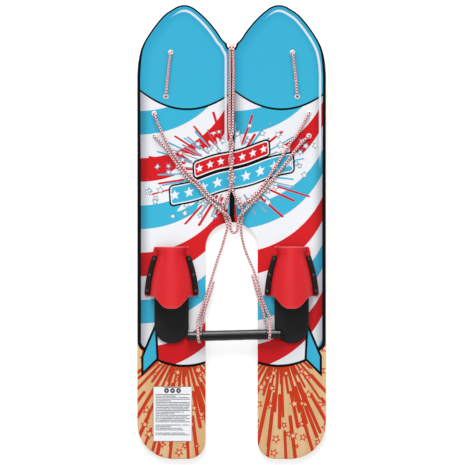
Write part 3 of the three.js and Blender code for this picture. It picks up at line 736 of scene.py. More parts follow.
def slab(name, loop, holes, top, bottom, rounding, materials, extra=(), smooth=40, steps=3):
    """A plate with rounded edges and stepped round holes.

    top and bottom give heights from x and y; a hole is (x, y, [(radius, depth below the top), ...]),
    its last depth None at the bottom. materials are those of the top, the side and the bottom.
    """
    points, faces, slots = [], [], []

    def add_ring(ring, height):
        first = len(points)
        points.extend((x, y, height(x, y)) for x, y in ring)
        return first, len(ring)

    def bridge(a, b, slot, flip=False):
        (first, count), (second, _) = a, b
        for i in range(count):
            j = (i + 1) % count
            face = (first + i, second + i, second + j, first + j)
            faces.append(face[::-1] if flip else face)
            slots.append(slot)

    angles = [math.pi / 2 * k / steps for k in range(steps + 1)]
    rounds = [(rounding * (1 - math.sin(a)), rounding * (1 - math.cos(a))) for a in angles]
    rings = [add_ring(inset(loop, d), lambda x, y, h=h: top(x, y) - h) for d, h in rounds]
    lower = [add_ring(inset(loop, d), lambda x, y, h=h: bottom(x, y) + h) for d, h in rounds[::-1]]
    for a, b in zip(rings, rings[1:]):
        bridge(a, b, 0)
    bridge(rings[-1], lower[0], 1)
    for a, b in zip(lower, lower[1:]):
        bridge(a, b, 2)
    hole_ends = []
    for hx, hy, profile in holes:
        drilled = []
        for radius, depth in profile:
            ring = arc(hx, hy, radius, 0, 360, 24)[:-1]
            height = bottom if depth is None else lambda x, y, depth=depth: top(x, y) - depth
            drilled.append((add_ring(ring, height), ring))
        for (a, _), (b, _) in zip(drilled, drilled[1:]):
            bridge(a, b, 1, flip=True)
        hole_ends.append((drilled[0], drilled[-1]))
    inner = inset(loop, rounds[0][0])
    for end, height, slot, ring in ((0, top, 0, rings[0]), (1, bottom, 2, lower[-1])):
        plan, triangles = fill(inner, [h[end][1] for h in hole_ends], list(extra))
        numbers = list(range(ring[0], ring[0] + ring[1]))
        for h in hole_ends:
            numbers += range(h[end][0][0], h[end][0][0] + h[end][0][1])
        first = len(points)
        points.extend((x, y, height(x, y)) for x, y in extra)
        numbers += range(first, first + len(extra))
        for triangle in triangles:
            a, b, c = (plan[i] for i in triangle)
            turn = (b[0] - a[0]) * (c[1] - a[1]) - (b[1] - a[1]) * (c[0] - a[0])
            upward = [numbers[i] for i in (triangle if turn > 0 else triangle[::-1])]
            faces.append(upward if slot == 0 else upward[::-1])
            slots.append(slot)
    piece = add_piece(name, points, faces, None, smooth, materials=materials)
    piece.data.polygons.foreach_set("material_index", slots)
    return piece


def make_board():
    outline, hole_radius = board_outline(), EYELET_BARREL + GAP
    grid = grid_inside(outline, np.arange(-231, 232, 7.0), np.arange(-567, 569, 7.0), 5.5)
    holes = []
    for hand in (-1, 1):
        for x, y in EYELETS:
            holes.append((hand * x, y, [(hole_radius, 0), (hole_radius, None)]))
            grid = grid[np.hypot(grid[:, 0] - hand * x, grid[:, 1] - y) > 8.0]
    board = slab("board_body", outline, holes, lambda x, y: top_z(y), lambda x, y: underside_z(y), 2.2,
                 [printed_board(), ply_edge(), bare_wood()], [tuple(p) for p in grid], smooth=50)
    # distance to the edges that carry the printed black line
    plan = np.array([(v.co.x / MM, v.co.y / MM) for v in board.data.vertices])
    tip = [p for p in outline if p[1] > 0 or abs(p[0]) > 200 and p[1] > -320]
    start = max(range(len(tip)), key=lambda i: math.dist(tip[i - 1], tip[i]))
    chain = [p for p in tip[start:] + tip[:start] if not (abs(p[0]) < CUTOUT_RADIUS + 1 and p[1] < 60)]
    rim = np.minimum(distance_to(plan, [p for p in chain if p[0] > -1]),
                     distance_to(plan, [p for p in chain if p[0] < 1]))
    board.data.attributes.new("rim", "FLOAT", "POINT").data.foreach_set("value", rim.astype(np.float32))
    stand_in(board, ["board"])


def lathe(name, profile, material, matrix, segments, smooth=40, lobes=None):
    """A turned piece; the profile is (radius, height) pairs and lobes changes a radius with the angle."""
    points, faces = [], []
    for i in range(segments):
        angle = 2 * math.pi * i / segments
        for k, (radius, height) in enumerate(profile):
            r = radius if lobes is None else lobes(k, radius, angle)
            points.append(matrix @ Vector((r * math.cos(angle), r * math.sin(angle), height)))
    count = len(profile)
    closed = profile[0] == profile[-1]
    if closed:
        points = [p for i, p in enumerate(points) if i % count != count - 1]
        count -= 1
    for i in range(segments):
        a, b = i * count, (i + 1) % segments * count
        for k in range(count if closed else count - 1):
            n = (k + 1) % count
            faces.append((a + k, b + k, b + n, a + n))
    piece = add_piece(name, points, faces, material, smooth)
    clean(piece)
    return piece


def both_ends(profile):
    """A closed profile from its part at one end."""
    return [*profile, *((radius, -height) for radius, height in reversed(profile)), profile[0]]


def make_eyelets(material):
    bore, flange, inner, rim = EYELET_BORE, EYELET_FLANGE, THICKNESS / 2 + GAP, EYELET_RIM
    profile = both_ends([(bore, inner), (bore + 0.15, inner + 0.6), (bore + 0.6, inner + rim),
                         (bore + 1.3, inner + rim + 0.12), (flange - 0.7, inner + 0.9),
                         (flange - 0.1, inner + 0.45), (flange, inner), (EYELET_BARREL, inner)])
    for side, hand in (("left", -1), ("right", 1)):
        for number, (x, y) in enumerate(EYELETS, 1):
            height = (underside_z(y) + top_z(y)) / 2
            matrix = Matrix.Translation((hand * x, y, height)) @ Matrix.Rotation(slope_at(y), 4, "X")
            piece = lathe(f"eyelet_ring_{side}_{number}", profile, material, matrix, 36)
            stand_in(piece, [f"eyelet_{side}_{number}"])


# ---- bindings ----
def plate_offset(y):
    """How far the middle of a side plate is from the binding's."""
    t = min(max((PLATE_FRONT - y) / (PLATE_FRONT - PLATE_REAR), 0), 1.13)
    return PLATE_OFFSET + PLATE_FLARE * t - PLATE_CURL * t * t


def screw_places(side):
    """Plan places of a side plate's screws, from the binding's middle."""
    return [(side * plate_offset(y), y)
            for y in (PLATE_FRONT + (PLATE_REAR - PLATE_FRONT) * t for t in SCREW_PLACES)]


def foot_pad(name, centre, material):
    heel, toe = PAD_HEEL + PAD_HALF_WIDTH, 29
    right = [(PAD_HALF_WIDTH, heel + (-120 - heel) * i / 12) for i in range(1, 12)]
    for i in range(15):
        t = i / 14
        weights = (1 - t) ** 3, 3 * t * (1 - t) ** 2, 3 * t * t * (1 - t), t ** 3
        xs, ys = (PAD_HALF_WIDTH, PAD_HALF_WIDTH, toe + 1, toe), (-120, -95, -80, PAD_FRONT - 12)
        right.append((sum(w * x for w, x in zip(weights, xs)), sum(w * y for w, y in zip(weights, ys))))
    loop = arc(0, heel, PAD_HALF_WIDTH, 180, 360, 36) + right
    loop += arc(toe - 12, PAD_FRONT - 12, 12, 0, 90, 8)[1:] + arc(-toe + 12, PAD_FRONT - 12, 12, 90, 180, 8)
    loop += [(-x, y) for x, y in reversed(right)][1:]

    def dished(x, y):
        """Flat, with a shallow place for the heel."""
        return DECK + PAD_THICKNESS - 0.1 - 0.9 * math.exp(-((y + 225) / 34) ** 2 - (x / 26) ** 2)

    grid = grid_inside(loop, np.arange(-40, 41, 4.0), np.arange(-274, -52, 4.0), 4.2)
    pad = slab(name, loop, [], dished, lambda x, y: DECK, 1.6, [material] * 3, [tuple(p) for p in grid])
    pad.data.transform(Matrix.Translation((centre * MM, 0, 0)))
    return pad


FILLET, FRONT_FILLET = 4.5, 10.0


def toe_strap(name, centre, material):
    """A rubber sheet arched over the foot, with flat edges under the side plates and a round tongue."""
    t, arch = STRAP_THICKNESS, 44
    flat = (0.0, 0.04, 0.1, 0.2, 0.35, 0.5, 0.8)
    across = [("flat", -1, s) for s in flat]
    across += [("arch", 0, math.pi * (1 - i / arch)) for i in range(arch + 1)]
    across += [("flat", 1, s) for s in flat[::-1]]
    stations = [0.0, 0.003, 0.010, 0.022] + [0.04 + 0.91 * i / 30 for i in range(31)]
    stations += [0.965, 0.98, 0.99, 0.997, 1.0]

    def thickness(share, length):
        """Full in the middle, round at both ends, with a bead along the rear rim."""
        from_front, from_rear = share * length, (1 - share) * length
        end = min(from_front, from_rear)
        round_off = math.sqrt(max(0.0, 1 - (1 - min(end / 1.5, 1.0)) ** 2))
        bead = 0.35 * math.exp(-((from_rear - 3.2) / 1.9) ** 2)
        return (0.12 + 0.88 * round_off) * (1 + bead)

    def point(kind, side, value, share, face):
        if kind == "arch":
            spread = abs(math.cos(value)) * (plate_offset(STRAP_REAR - STRAP_TONGUE) - PLATE_WIDTH / 2)
            swell = min(spread / (PAD_HALF_WIDTH * 1.12), 1.0) ** 1.5
            rear = STRAP_REAR - STRAP_TONGUE * math.cos(math.pi / 2 * swell) ** 1.6
        else:
            corner = max(0.0, 1 - value / 0.55)
            rear = STRAP_REAR + 6.5 * (1 - math.sqrt(max(0.0, 1 - corner * corner)))
        length = STRAP_FRONT - rear
        y = STRAP_FRONT - length * share
        front = min(max((y - PLATE_FRONT) / (STRAP_FRONT - PLATE_FRONT), 0), 1)
        offset = plate_offset(y)
        arch_half = offset - PLATE_WIDTH / 2 - 1.5 + 6 * front
        edge = offset + PLATE_WIDTH / 2 + 0.6 - 5 * front ** 2
        run = (STRAP_FRONT - y) / (STRAP_FRONT - STRAP_REAR + STRAP_TONGUE)
        height = STRAP_FRONT_HEIGHT + (STRAP_REAR_HEIGHT - STRAP_FRONT_HEIGHT) * run
        half = t / 2 * thickness(share, length) * (1 if face > 0 else -1)
        if kind == "flat":
            rounded = 0.25 if value == 0 else (0.8 if value < 0.1 else 1.0)
            x = side * (edge + (arch_half - edge) * value)
            return x, y, DECK + t / 2 + half * rounded
        radial = arch_half - t / 2 + half, height - t / 2 + half - t / 2
        # a soft fillet where the arch leaves the flat edge, wider at the front
        rise = math.sin(value)
        fillet = FILLET + FRONT_FILLET * math.exp(-((share * length) / 40) ** 2)
        lift = radial[1] * rise - fillet * (1 - rise) ** 3 * rise * 4
        widen = fillet * 0.45 * (1 - rise) ** 4 * rise * 6
        x = radial[0] * math.cos(value) + math.copysign(widen, math.cos(value))
        return x, y, DECK + t / 2 + max(lift, 0.0)

    points = [point(*column, share, face) for face in (1, -1) for share in stations for column in across]
    rows, columns = len(stations), len(across)

    def at(face, r, c):
        return (face * rows + r) * columns + c

    faces = []
    for r in range(rows - 1):
        for c in range(columns - 1):
            faces.append((at(0, r, c), at(0, r + 1, c), at(0, r + 1, c + 1), at(0, r, c + 1)))
            faces.append((at(1, r, c), at(1, r, c + 1), at(1, r + 1, c + 1), at(1, r + 1, c)))
        last = columns - 1
        faces.append((at(0, r, 0), at(1, r, 0), at(1, r + 1, 0), at(0, r + 1, 0)))
        faces.append((at(0, r, last), at(0, r + 1, last), at(1, r + 1, last), at(1, r, last)))
    for c in range(columns - 1):
        faces.append((at(0, 0, c), at(0, 0, c + 1), at(1, 0, c + 1), at(1, 0, c)))
        faces.append((at(0, r + 1, c), at(1, r + 1, c), at(1, r + 1, c + 1), at(0, r + 1, c + 1)))
    strap = add_piece(name, points, faces, material, smooth=70)
    # painted highlight: how much lighter each point near the front and rear edges is tinted, kept as the edge
    # attribute
    edge_highlight = [math.exp(-(min(s, 1 - s) * 140 / 1.4) ** 2) for _ in (0, 1) for s in stations for _ in across]
    strap.data.attributes.new("edge", "FLOAT", "POINT").data.foreach_set("value", edge_highlight)
    strap.data.transform(Matrix.Translation((centre * MM, 0, 0)))
    return strap


def plate_loop(side):
    """Outline of a side plate: a bent bar with round ends."""
    steps, half = 16, PLATE_WIDTH / 2
    ys = [PLATE_FRONT - half + (PLATE_REAR - PLATE_FRONT + PLATE_WIDTH) * i / steps for i in range(steps + 1)]
    centre = [Vector((side * plate_offset(y), y)) for y in ys]
    normals = []
    for i in range(steps + 1):
        along = centre[min(i + 1, steps)] - centre[max(i - 1, 0)]
        normals.append(Vector((-along.y, along.x)).normalized())

    def cap(i, start):
        base = math.degrees(math.atan2(normals[i].y, normals[i].x)) + start
        return arc(centre[i].x, centre[i].y, half, base, base - 180, 12)[1:-1]

    rim = [tuple(c + n * half) for c, n in zip(centre, normals)] + cap(steps, 0)
    rim += [tuple(c - n * half) for c, n in zip(centre[::-1], normals[::-1])] + cap(0, 180)
    area = sum(a[0] * b[1] - b[0] * a[1] for a, b in zip(rim, rim[1:] + rim[:1]))
    return rim if area > 0 else rim[::-1]


def make_screw(name, x, y, z, material, turn):
    head, shank, length = 4.3, 2.1, 15.6
    profile = [(0, -length), (shank * 0.45, -length + 1.5), (shank, -length + 4), (shank, -0.2), (head, 0),
               (head, 0.7), (head - 0.2, 1.15), (head * 0.75, 1.75), (2.5, 2.0), (2.3, 1.9), (2.2, 0.9),
               (0, 0.75)]

    def recess(k, radius, angle):
        """Six-lobed walls for the points of the profile that make the socket."""
        return radius * (1 - 0.2 * math.cos(6 * angle)) if k in (8, 9, 10) else radius

    matrix = Matrix.Translation((x, y, z)) @ Matrix.Rotation(turn, 4, "Z")
    return lathe(name, profile, material, matrix, 36, lobes=recess, smooth=35)


def make_bindings():
    rubber, foam, steel = red_rubber(), black_foam(), dark_steel()
    plastic = moulded_plastic("black_plastic", "060607", "101011", 0.26, 0.3)
    base = DECK + GAP + STRAP_THICKNESS
    recess = [(4.9, 0), (4.7, 0.3), (4.6, 0.6), (4.6, 2.3), (2.5, 2.3), (2.5, None)]
    for name, hand in (("left", -1), ("right", 1)):
        centre = hand * BINDING_X
        pad = foot_pad(f"foot_pad_foam_{name}", centre, foam)
        stand_in(pad, [f"foot_pad_{name}"])
        strap = toe_strap(f"toe_strap_rubber_{name}", centre, rubber)
        stand_in(strap, [f"toe_strap_{name}"])
        for side, sign in (("outer", hand), ("inner", -hand)):
            places = screw_places(sign)
            plate = slab(f"side_plate_body_{name}_{side}", plate_loop(sign),
                         [(x, y, recess) for x, y in places], lambda x, y: base + PLATE_THICKNESS,
                         lambda x, y: base, 1.3, [plastic] * 3)
            plate.data.transform(Matrix.Translation((centre * MM, 0, 0)))
            stand_in(plate, [f"side_plate_{name}_{side}"])
            for i, (x, y) in enumerate(places, 1):
                screw = make_screw(f"screw_body_{name}_{side}_{i}", centre + x, y,
                                   base + PLATE_THICKNESS - 2, steel, i * 1.3 + sign)
                stand_in(screw, [f"screw_{name}_{side}_{i}"])


def make_label():
    w, h, corner, loop = LABEL_WIDTH / 2, LABEL_HEIGHT / 2, LABEL_CORNER, []
    for right, up, start in ((1, 1, 0), (-1, 1, 90), (-1, -1, 180), (1, -1, 270)):
        loop += arc(LABEL_X + right * (w - corner), LABEL_Y + up * (h - corner), corner, start, start + 90, 6)
    label = slab("label_sticker", loop, [], lambda x, y: DECK + LABEL_THICKNESS, lambda x, y: DECK, 0.1,
                 [sticker()] * 3, steps=1)
    stand_in(label, ["label"])


# ---- handle ----
def make_handle():
    matrix = Matrix.Translation((BAR_X, BAR_Y, BAR_Z)) @ Matrix.Rotation(math.atan(BAR_TILT), 4, "Z") \
        @ Matrix.Rotation(math.pi / 2, 4, "Y")
    half, bore, cap_rim, edge = BAR_LENGTH / 2, BAR_RADIUS - BAR_WALL, 3, 0.5
    end = half - cap_rim - GAP
    tube = both_ends([(bore, -end + edge), (bore + edge, -end), (BAR_RADIUS - edge, -end),
                      (BAR_RADIUS, -end + edge)])
    g, inner = GRIP_LENGTH / 2 - 0.5, BAR_RADIUS + GAP      # shorter, as the rope's strands stand out 0.15
    lip = [(inner, -g + 0.4), (inner + 0.4, -g), (GRIP_RADIUS - 0.9, -g), (GRIP_RADIUS - 0.3, -g + 0.3),
           (GRIP_RADIUS, -g + 0.9)]
    ripples = [(GRIP_RADIUS - 0.12 - 0.1 * math.cos(i * 0.9), -g + GRIP_LENGTH * i / 30)
               for i in range(1, 30)]
    grip = lip + ripples + both_ends(lip)[len(lip):]
    cap = [(0, half - 16), (bore - 1.2, half - 16), (bore - GAP, half - 14), (bore - GAP, half - cap_rim),
           (BAR_RADIUS - 0.3, half - cap_rim), (BAR_RADIUS, half - cap_rim + 0.3), (BAR_RADIUS, half - 1.4),
           (BAR_RADIUS - 0.3, half - 0.6), (BAR_RADIUS - 0.9, half - 0.15), (BAR_RADIUS - 2.0, half),
           (BAR_RADIUS - 3.4, half - 0.1), (BAR_RADIUS - 3.8, half - 0.5), (0, half - 0.5)]
    plastic = moulded_plastic("cap_plastic", "060607", "0E0E0F", 0.2, 0.3)
    rubber = moulded_plastic("grip_rubber", "080809", "101011", 0.2, 0.45)
    flip = Matrix.Rotation(math.pi, 4, "X")
    for part, profile, material, placed, slot in (
            ("tube", tube, gloss_tube(), matrix, "handle_tube"),
            ("grip", grip, rubber, matrix, "grip_rubber"),
            ("cap_right", cap, plastic, matrix, "black_plastic"),
            ("cap_left", cap, plastic, matrix @ flip, "black_plastic")):
        piece = lathe(f"handle_bar_{part}", profile, material, placed, 64, smooth=30)
        stand_in(piece, [f"handle_{part}"], "handle_bar")


# ---- ropes: the routes of the CAD, [x, y, height] as there ----
L = ROPE_D / 2 + GAP                        # a rope that lies on the board
OVER = L + ROPE_D + 1.6                     # over another rope
AT_EYELET = L + EYELET_RIM + 0.5            # beside an eyelet's rim
TWIST_RADIUS, TWIST_START, TWIST_END, TWIST_X, TWIST_TURNS = 3.8, 255, 105, -1, 2


def place(point):
    """A route's point: a height over the board's top, its middle or the floor, or a depth under it."""
    x, y, h, *rest = point
    mode = rest[0] if rest else "top"
    heights = {"top": top_z(y) + h, "under": underside_z(y) - h, "mid": (top_z(y) + underside_z(y)) / 2 + h,
               "z": h}
    return Vector((x, y, heights[mode]))


def between(a, b, start, end, t):
    """The point at t on a line that passes a at start and b at end."""
    return a * ((end - t) / (end - start)) + b * ((t - start) / (end - start))


def curve_through(points, step):
    """Even points of a centripetal Catmull-Rom curve."""
    dense = []
    ends = [points[0] * 2 - points[1], *points, points[-1] * 2 - points[-2]]
    for i in range(len(points) - 1):
        p = ends[i:i + 4]
        knots = [0.0]
        for a, b in zip(p, p[1:]):
            knots.append(knots[-1] + max((b - a).length, 1e-6) ** 0.5)
        for k in range(12):
            t = knots[1] + (knots[2] - knots[1]) * k / 12
            first = [between(p[j], p[j + 1], knots[j], knots[j + 1], t) for j in range(3)]
            second = [between(first[j], first[j + 1], knots[j], knots[j + 2], t) for j in range(2)]
            dense.append(between(*second, knots[1], knots[2], t))
    dense.append(points[-1])
    lengths = [0.0]
    for a, b in zip(dense, dense[1:]):
        lengths.append(lengths[-1] + (b - a).length)
    count = max(4, round(lengths[-1] / step))
    result, j = [], 0
    for i in range(count + 1):
        target = lengths[-1] * i / count
        while j < len(dense) - 2 and lengths[j + 1] < target:
            j += 1
        share = (target - lengths[j]) / max(lengths[j + 1] - lengths[j], 1e-9)
        result.append(dense[j].lerp(dense[j + 1], min(max(share, 0), 1)))
    return result, lengths[-1]


BRAID_PITCH, STRAND_WAVES, STRAND_RELIEF = 14.0, 4, 0.045
BEND_HALF = 14                              # on each side of the hinge; the points it gives are passed with the tow lines but not used to bend them


def rope(name, points, nodes, material, step=1.5, sides=16, blend=None):
    """A braided rope along a route: a tube with low strands in relief, its map wound round it."""
    path, length = curve_through(points, step)
    last, spacing = len(path) - 1, length / (len(path) - 1)
    tangents = [(path[min(i + 1, last)] - path[max(i - 1, 0)]).normalized() for i in range(len(path))]
    normal = tangents[0].orthogonal().normalized()
    verts, faces, uv = [], [], []
    # each ring: where on the path, its share of the radius, and how far it is moved to round an end
    rings = [(0, 0.45, -0.9), (0, 0.85, -0.5), *((i, 1.0, 0) for i in range(len(path))),
             (last, 0.85, 0.5), (last, 0.45, 0.9)]
    frames = []
    for tangent in tangents:
        normal = normal + Vector((0, 0, 0.1))       # brings a row of flecks round to the top
        normal = (normal - tangent * normal.dot(tangent)).normalized()
        frames.append((normal, tangent.cross(normal)))
    for i, scale, bulge in rings:
        side, up = frames[i]
        centre = path[i] + tangents[i] * bulge
        along = i * spacing / BRAID_PITCH
        for k in range(sides):
            turn, angle = k / sides, 2 * math.pi * k / sides
            weave = (math.cos(2 * math.pi * STRAND_WAVES * (turn + along))
                     * math.cos(2 * math.pi * STRAND_WAVES * (turn - along)))
            r = ROPE_D / 2 * scale * (1 + STRAND_RELIEF * weave)
            verts.append(centre + side * (r * math.cos(angle)) + up * (r * math.sin(angle)))
    for i in range(len(rings) - 1):
        start, end = (rings[j][0] * spacing / BRAID_PITCH for j in (i, i + 1))
        for k in range(sides):
            n = (k + 1) % sides
            faces.append((i * sides + k, i * sides + n, (i + 1) * sides + n, (i + 1) * sides + k))
            uv += [(k / sides, start), ((k + 1) / sides, start), ((k + 1) / sides, end), (k / sides, end)]
    for ring, turned in ((0, -1), (len(rings) - 1, 1)):
        faces.append([ring * sides + k for k in range(sides)][::turned])
        uv += [(k / sides, 0) for k in range(sides)]
    piece = add_piece(name, verts, faces, material, smooth=180, uv=uv)
    clean(piece, merge=False)
    if blend:
        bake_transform(piece)
        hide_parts(*nodes)
    else:
        stand_in(piece, nodes)
    return piece


def twist(phase):
    """One of two lines wound round each other on the board."""
    count, points = TWIST_TURNS * 10, []
    for i in range(count + 1):
        angle = math.pi + phase + TWIST_TURNS * 2 * math.pi * i / count
        y = TWIST_START + (TWIST_END - TWIST_START) * i / count
        points.append((TWIST_X + TWIST_RADIUS * math.cos(angle), y,
                       L + TWIST_RADIUS + TWIST_RADIUS * math.sin(angle)))
    return points


def mirror(hand, points):
    """A route of the right side, or with hand -1 the same on the left."""
    return [(hand * x, *rest) for x, *rest in points]


UNDER_TIP = [(152, 450, -2, "mid"), (152, 450, 1.2, "under"), (149.5, 449.6, 4.2, "under"),
             (141, 448, AT_EYELET, "under"), (128, 445, L, "under"), (95, 439.5, L, "under"),
             (55, 434, L, "under"), (27, 432, L, "under"), (10.5, 436, L, "under"),
             (4.8, 446, L + 0.4, "under"), (4, 457.5, L + 1, "under"), (4, 465.3, -7.8, "mid"),
             (4, 468.5, 0, "mid"), (4, 465.3, 7.8, "mid"), (4, 457.5, L + 1), (4, 447, L)]
CENTRE_ROUTES = {
    "left": [*mirror(-1, UNDER_TIP), (-4.2, 410, L), (-4.6, 350, L), (-5.2, 295, L), (-5.2, 272, L + 1.6),
             *twist(0), (-7.5, 94, L + 3), (-14, 82, L + 4.5), (-20, 71, OVER), (-22.4, 60, L + 3),
             (-20, 49.5, L), (-15.5, 37, L), (-12, 25, L)],
    "right": [*mirror(1, UNDER_TIP), (4.6, 410, L), (4.4, 350, L), (3.6, 295, L), (3.2, 272, L + 1.6),
              *twist(math.pi), (7, 94, L + 3), (14.5, 83, L + 4.5), (21.5, 71.5, OVER), (26, 59, L + 3),
              (27.2, 47.5, L), (26.6, 36, L), (24.6, 25, L)],
}
HANDLE_ROUTES = {
    "left": [(-11, HINGE_Y, HINGE_Z), (-12.6, 3, 15.8), (-18, -15, 13.2), (-25.5, -40.6, 10.2),
             (-34.8, -66.4, 8.6), (-43.8, -95, 9), (-52, -122, 12), (-59.5, -146, 16.2),
             (-66.5, -168, 17), (-74, -192, 17.4)],
    "right": [(23, HINGE_Y, HINGE_Z), (23.6, 3, 15.8), (26.2, -14.9, 13.2), (32, -37.6, 10.4),
              (41, -62, 9.4), (50.6, -84, 10.4), (59, -106, 14), (65.4, -128, 16.8),
              (73.6, -158, 17), (84.6, -189, 17.4)],
}
EYE_BACKS = {
    "left": [(-74, -232, 17), (-70, -208, 17), (-65.2, -190, 17), (-57.7, -166, 17), (-50.6, -143.6, 16.2),
             (-44, -123, 12.6)],
    "right": [(86.2, -229, 17), (81, -210, 17), (75.6, -187, 17), (64.8, -156, 17), (57.2, -128, 16.6),
              (51.2, -108, 14)],
}
SIDE_ROUTES = {
    "left": [(-193, 297.5, -2, "mid"), (-193, 297.5, 0.6), (-192.2, 294.5, 4), (-190.2, 286.5, AT_EYELET),
             (-185.6, 274, L), (-177.8, 257, L), (-169.8, 240.6, L), (-160.3, 221.5, L), (-146.5, 198, L),
             (-133, 178.8, L), (-118, 157, L), (-102, 139.6, L), (-86, 126.5, L), (-67, 104.5, L),
             (-51, 87.5, L), (-36, 77.5, L), (-24, 72, L), (-16.5, 69.5, L)],
    "right": [(193, 297.5, -2, "mid"), (193, 297.5, 0.6), (191.4, 294.5, 4), (188, 287.5, AT_EYELET),
              (181.6, 275, L), (173.5, 260.6, L), (161, 240.4, L), (148.5, 224.9, L), (136, 205.6, L),
              (123.5, 185.6, L), (111, 166.6, L), (99, 148.6, L), (89, 131.6, L), (76, 112, L),
              (61, 94.5, L), (48, 82, L), (35, 75, L), (25, 71.8, L), (17.8, 70, L)],
}
BRIDLE_ROUTE = [(-193, 241, -13, "mid"), (-193, 241, -6, "mid"), (-193, 241, 0.6), (-191.2, 239, 4),
                (-185.4, 232.4, AT_EYELET), (-176, 222.4, L), (-166, 210.6, L), (-159.5, 202.6, L),
                (-151, 190.5, L), (-137.6, 171, L), (-122.8, 149.6, L), (-106.4, 131.6, L), (-90, 118.4, L),
                (-71.5, 97.4, L + 0.3), (-55, 79.6, L + 0.5), (-43, 68.6, L + 0.6), (-33, 60, L + 4),
                (-20.6, 50.2, OVER), (-9.5, 42, L + 4), (-4.6, 32, L), (-3.4, 20, 17, "z"),
                (-2.8, 9, 16, "z"), (1.6, 0.6, 14.8, "z"), (8, -1.4, 14.4, "z"), (13, 3.4, 15.2, "z"),
                (15.2, 14, 16.6, "z"), (16.4, 27, 17, "z"), (18.6, 37.4, L + 4), (27.2, 47.5, OVER),
                (36.6, 57.4, L + 4), (45, 66.6, L + 0.6), (54.8, 77.6, L + 0.5), (66.5, 88.6, L + 0.3),
                (83.5, 109, L), (98.5, 127, L), (108, 139.4, L), (121, 154.4, L), (135, 172, L),
                (148.5, 191, L), (162, 209, L), (175, 223.6, L), (185, 233, AT_EYELET), (191.2, 239, 4),
                (193, 241, 0.6), (193, 241, -6, "mid"), (193, 241, -13, "mid")]
TIP_ROUTE = [(152, 450, -1.4, "mid"), (152, 450, 0.6), (152.3, 447, 4), (153.2, 439.5, AT_EYELET),
             (155.5, 424, L + 0.4), (158.8, 395, L), (161.4, 368, L), (163, 350.5, AT_EYELET),
             (163.7, 343, 4), (164, 340, 0.6), (164, 340, -1.4, "mid")]
UNDER_ROUTE = [(164, 340, -2, "mid"), (164, 340, 1, "under"), (165.6, 337.6, 4, "under"),
               (170.8, 330, AT_EYELET, "under"), (178.5, 318.8, L, "under"),
               (186.2, 307.5, AT_EYELET, "under"), (191.4, 299.9, 4, "under"), (193, 297.5, 1, "under"),
               (193, 297.5, -2, "mid")]


def eye_route(hand, x, side):
    """Over the bar, round it and back beside the line."""
    y, inward = BAR_Y + BAR_TILT * (x - BAR_X), -hand
    points = [(x - inward * 1.5, y + 36, 25.5), (x - inward * 0.8, y + 20, 38.5)]
    for degrees in range(62, 261, 22):
        angle = math.radians(degrees)
        shift = max(0, degrees - 84) / 176 * 6
        points.append((x + inward * shift, y + EYE_RADIUS * math.cos(angle),
                       BAR_Z + EYE_RADIUS * math.sin(angle)))
    return points + [(x + inward * 6.8, y + 10, 17.2), *EYE_BACKS[side]]


def make_ropes():
    material, knots = braid(), []
    bend = [(HINGE_X * MM, (HINGE_Y + reach) * MM, HINGE_Z * MM) for reach in (BEND_HALF, -BEND_HALF)]
    for side, hand, eye_x in (("left", -1, -84), ("right", 1, 96)):
        points = [place(p) for p in CENTRE_ROUTES[side]]
        points += [Vector(p) for p in HANDLE_ROUTES[side] + eye_route(hand, eye_x, side)]
        rope(f"tow_line_{side}", points,
             [f"centre_rope_{side}", f"handle_rope_{side}", f"handle_eye_{side}"], material,
             blend=("board_assembly", "handle_lines", *bend))
        rope(f"side_line_{side}", [place(p) for p in SIDE_ROUTES[side]], [f"side_rope_{side}"], material)
        rope(f"tip_line_{side}", [place(p) for p in mirror(hand, TIP_ROUTE)], [f"tip_rope_{side}"], material)
        rope(f"under_line_{side}", [place(p) for p in mirror(hand, UNDER_ROUTE)], [f"under_rope_{side}"],
             material)
        knots.append(stopper_knot(side, hand, material))
    rope("bridle_line", [place(p) for p in BRIDLE_ROUTE], ["bridle_rope"], material)


def stopper_knot(side, hand, material):
    """A flat overhand knot, drawn up tight under the eyelet."""
    (x, y), points = EYELETS[3], []
    middle = underside_z(y) - 1.5 - 5.4
    for i in range(37):
        a = math.radians(-40 + 380 * i / 36)
        swing = 4.6 + 1.6 * math.cos(1.5 * a)
        points.append(Vector((hand * x + swing * math.cos(a), y + (swing - 0.4) * math.sin(a),
                              middle + 1.3 * math.sin(1.5 * a + 0.4))))
    return rope(f"rope_knot_{side}", points, [f"stopper_knot_{side}"], material, step=1.0, sides=14)


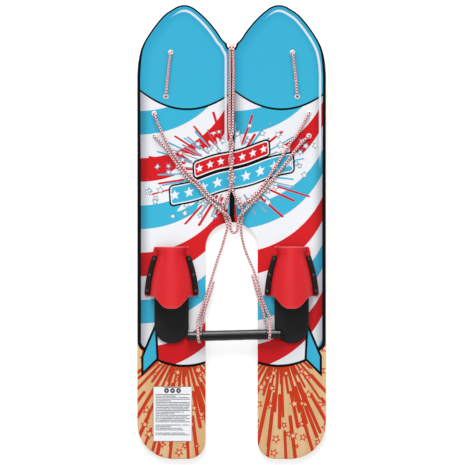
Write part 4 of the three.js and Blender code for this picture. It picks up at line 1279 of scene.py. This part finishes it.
# ---- scene ----
def make_stage():
    scene = bpy.context.scene
    scene.view_settings.view_transform = "Standard"
    shader = Shader("pale_floor")
    x, y, _ = shader.position()
    tone = noise((x * 0.001, y * 0.001), 1.2, 2.0)
    material = shader.surface(mix(tone, "C8C8C8", "D0D0D0"), 0.8, Emission_Color="FFFFFF",
                              Emission_Strength=0.5, Specular_IOR_Level=0.1)
    bpy.ops.mesh.primitive_plane_add(size=12, location=(0, 0, 0))
    floor = bpy.context.object
    floor.name = "floor"
    floor.data.materials.append(material)
    world = bpy.data.worlds.new("studio")
    world.use_nodes = True
    nodes, links = world.node_tree.nodes, world.node_tree.links
    direction = nodes.new("ShaderNodeTexCoord")
    split = nodes.new("ShaderNodeSeparateXYZ")
    height = nodes.new("ShaderNodeMapRange")       # bright round the horizon, dimmer overhead
    links.new(direction.outputs["Generated"], split.inputs[0])
    links.new(split.outputs["Z"], height.inputs["Value"])
    for name, value in (("From Min", 0.45), ("From Max", 1.0), ("To Min", 0.62), ("To Max", 0.34)):
        height.inputs[name].default_value = value
    nodes["Background"].inputs["Color"].default_value = (1, 1, 1, 1)
    links.new(height.outputs["Result"], nodes["Background"].inputs["Strength"])
    scene.world = world
    for name, spot, size, power in (
            ("key", (-0.5, 2.4, 2.3), 1.2, 58), ("left", (-2.6, -0.7, 1.9), 1.8, 18),
            ("right", (2.6, -0.6, 1.9), 1.8, 18), ("low", (0.2, 2.9, 0.9), 1.6, 62),
            ("glint", (0.1, 0.55, 3.2), 0.5, 4)):
        light = bpy.data.lights.new(name, "AREA")
        light.size, light.energy = size, power
        lamp = bpy.data.objects.new(name, light)
        lamp.location = spot
        lamp.rotation_euler = (-Vector(spot)).to_track_quat("-Z", "Y").to_euler()
        scene.collection.objects.link(lamp)
    camera = bpy.data.cameras.new("camera")
    camera.sensor_width = 36
    distance, view_width = 30.0, 1.1625         # far away with a long lens, straight above
    camera.lens = 36 * distance / view_width
    camera.clip_start, camera.clip_end = 10, 50
    seat = bpy.data.objects.new("camera", camera)
    seat.location = (0.00225, -0.0006, distance)
    scene.collection.objects.link(seat)
    scene.camera = seat


make_stage()
make_ropes()
make_board()
make_eyelets(moulded_plastic("eyelet_plastic", "E9E4D6", "F5F2EA", 0.3))
make_bindings()
make_label()
make_handle()
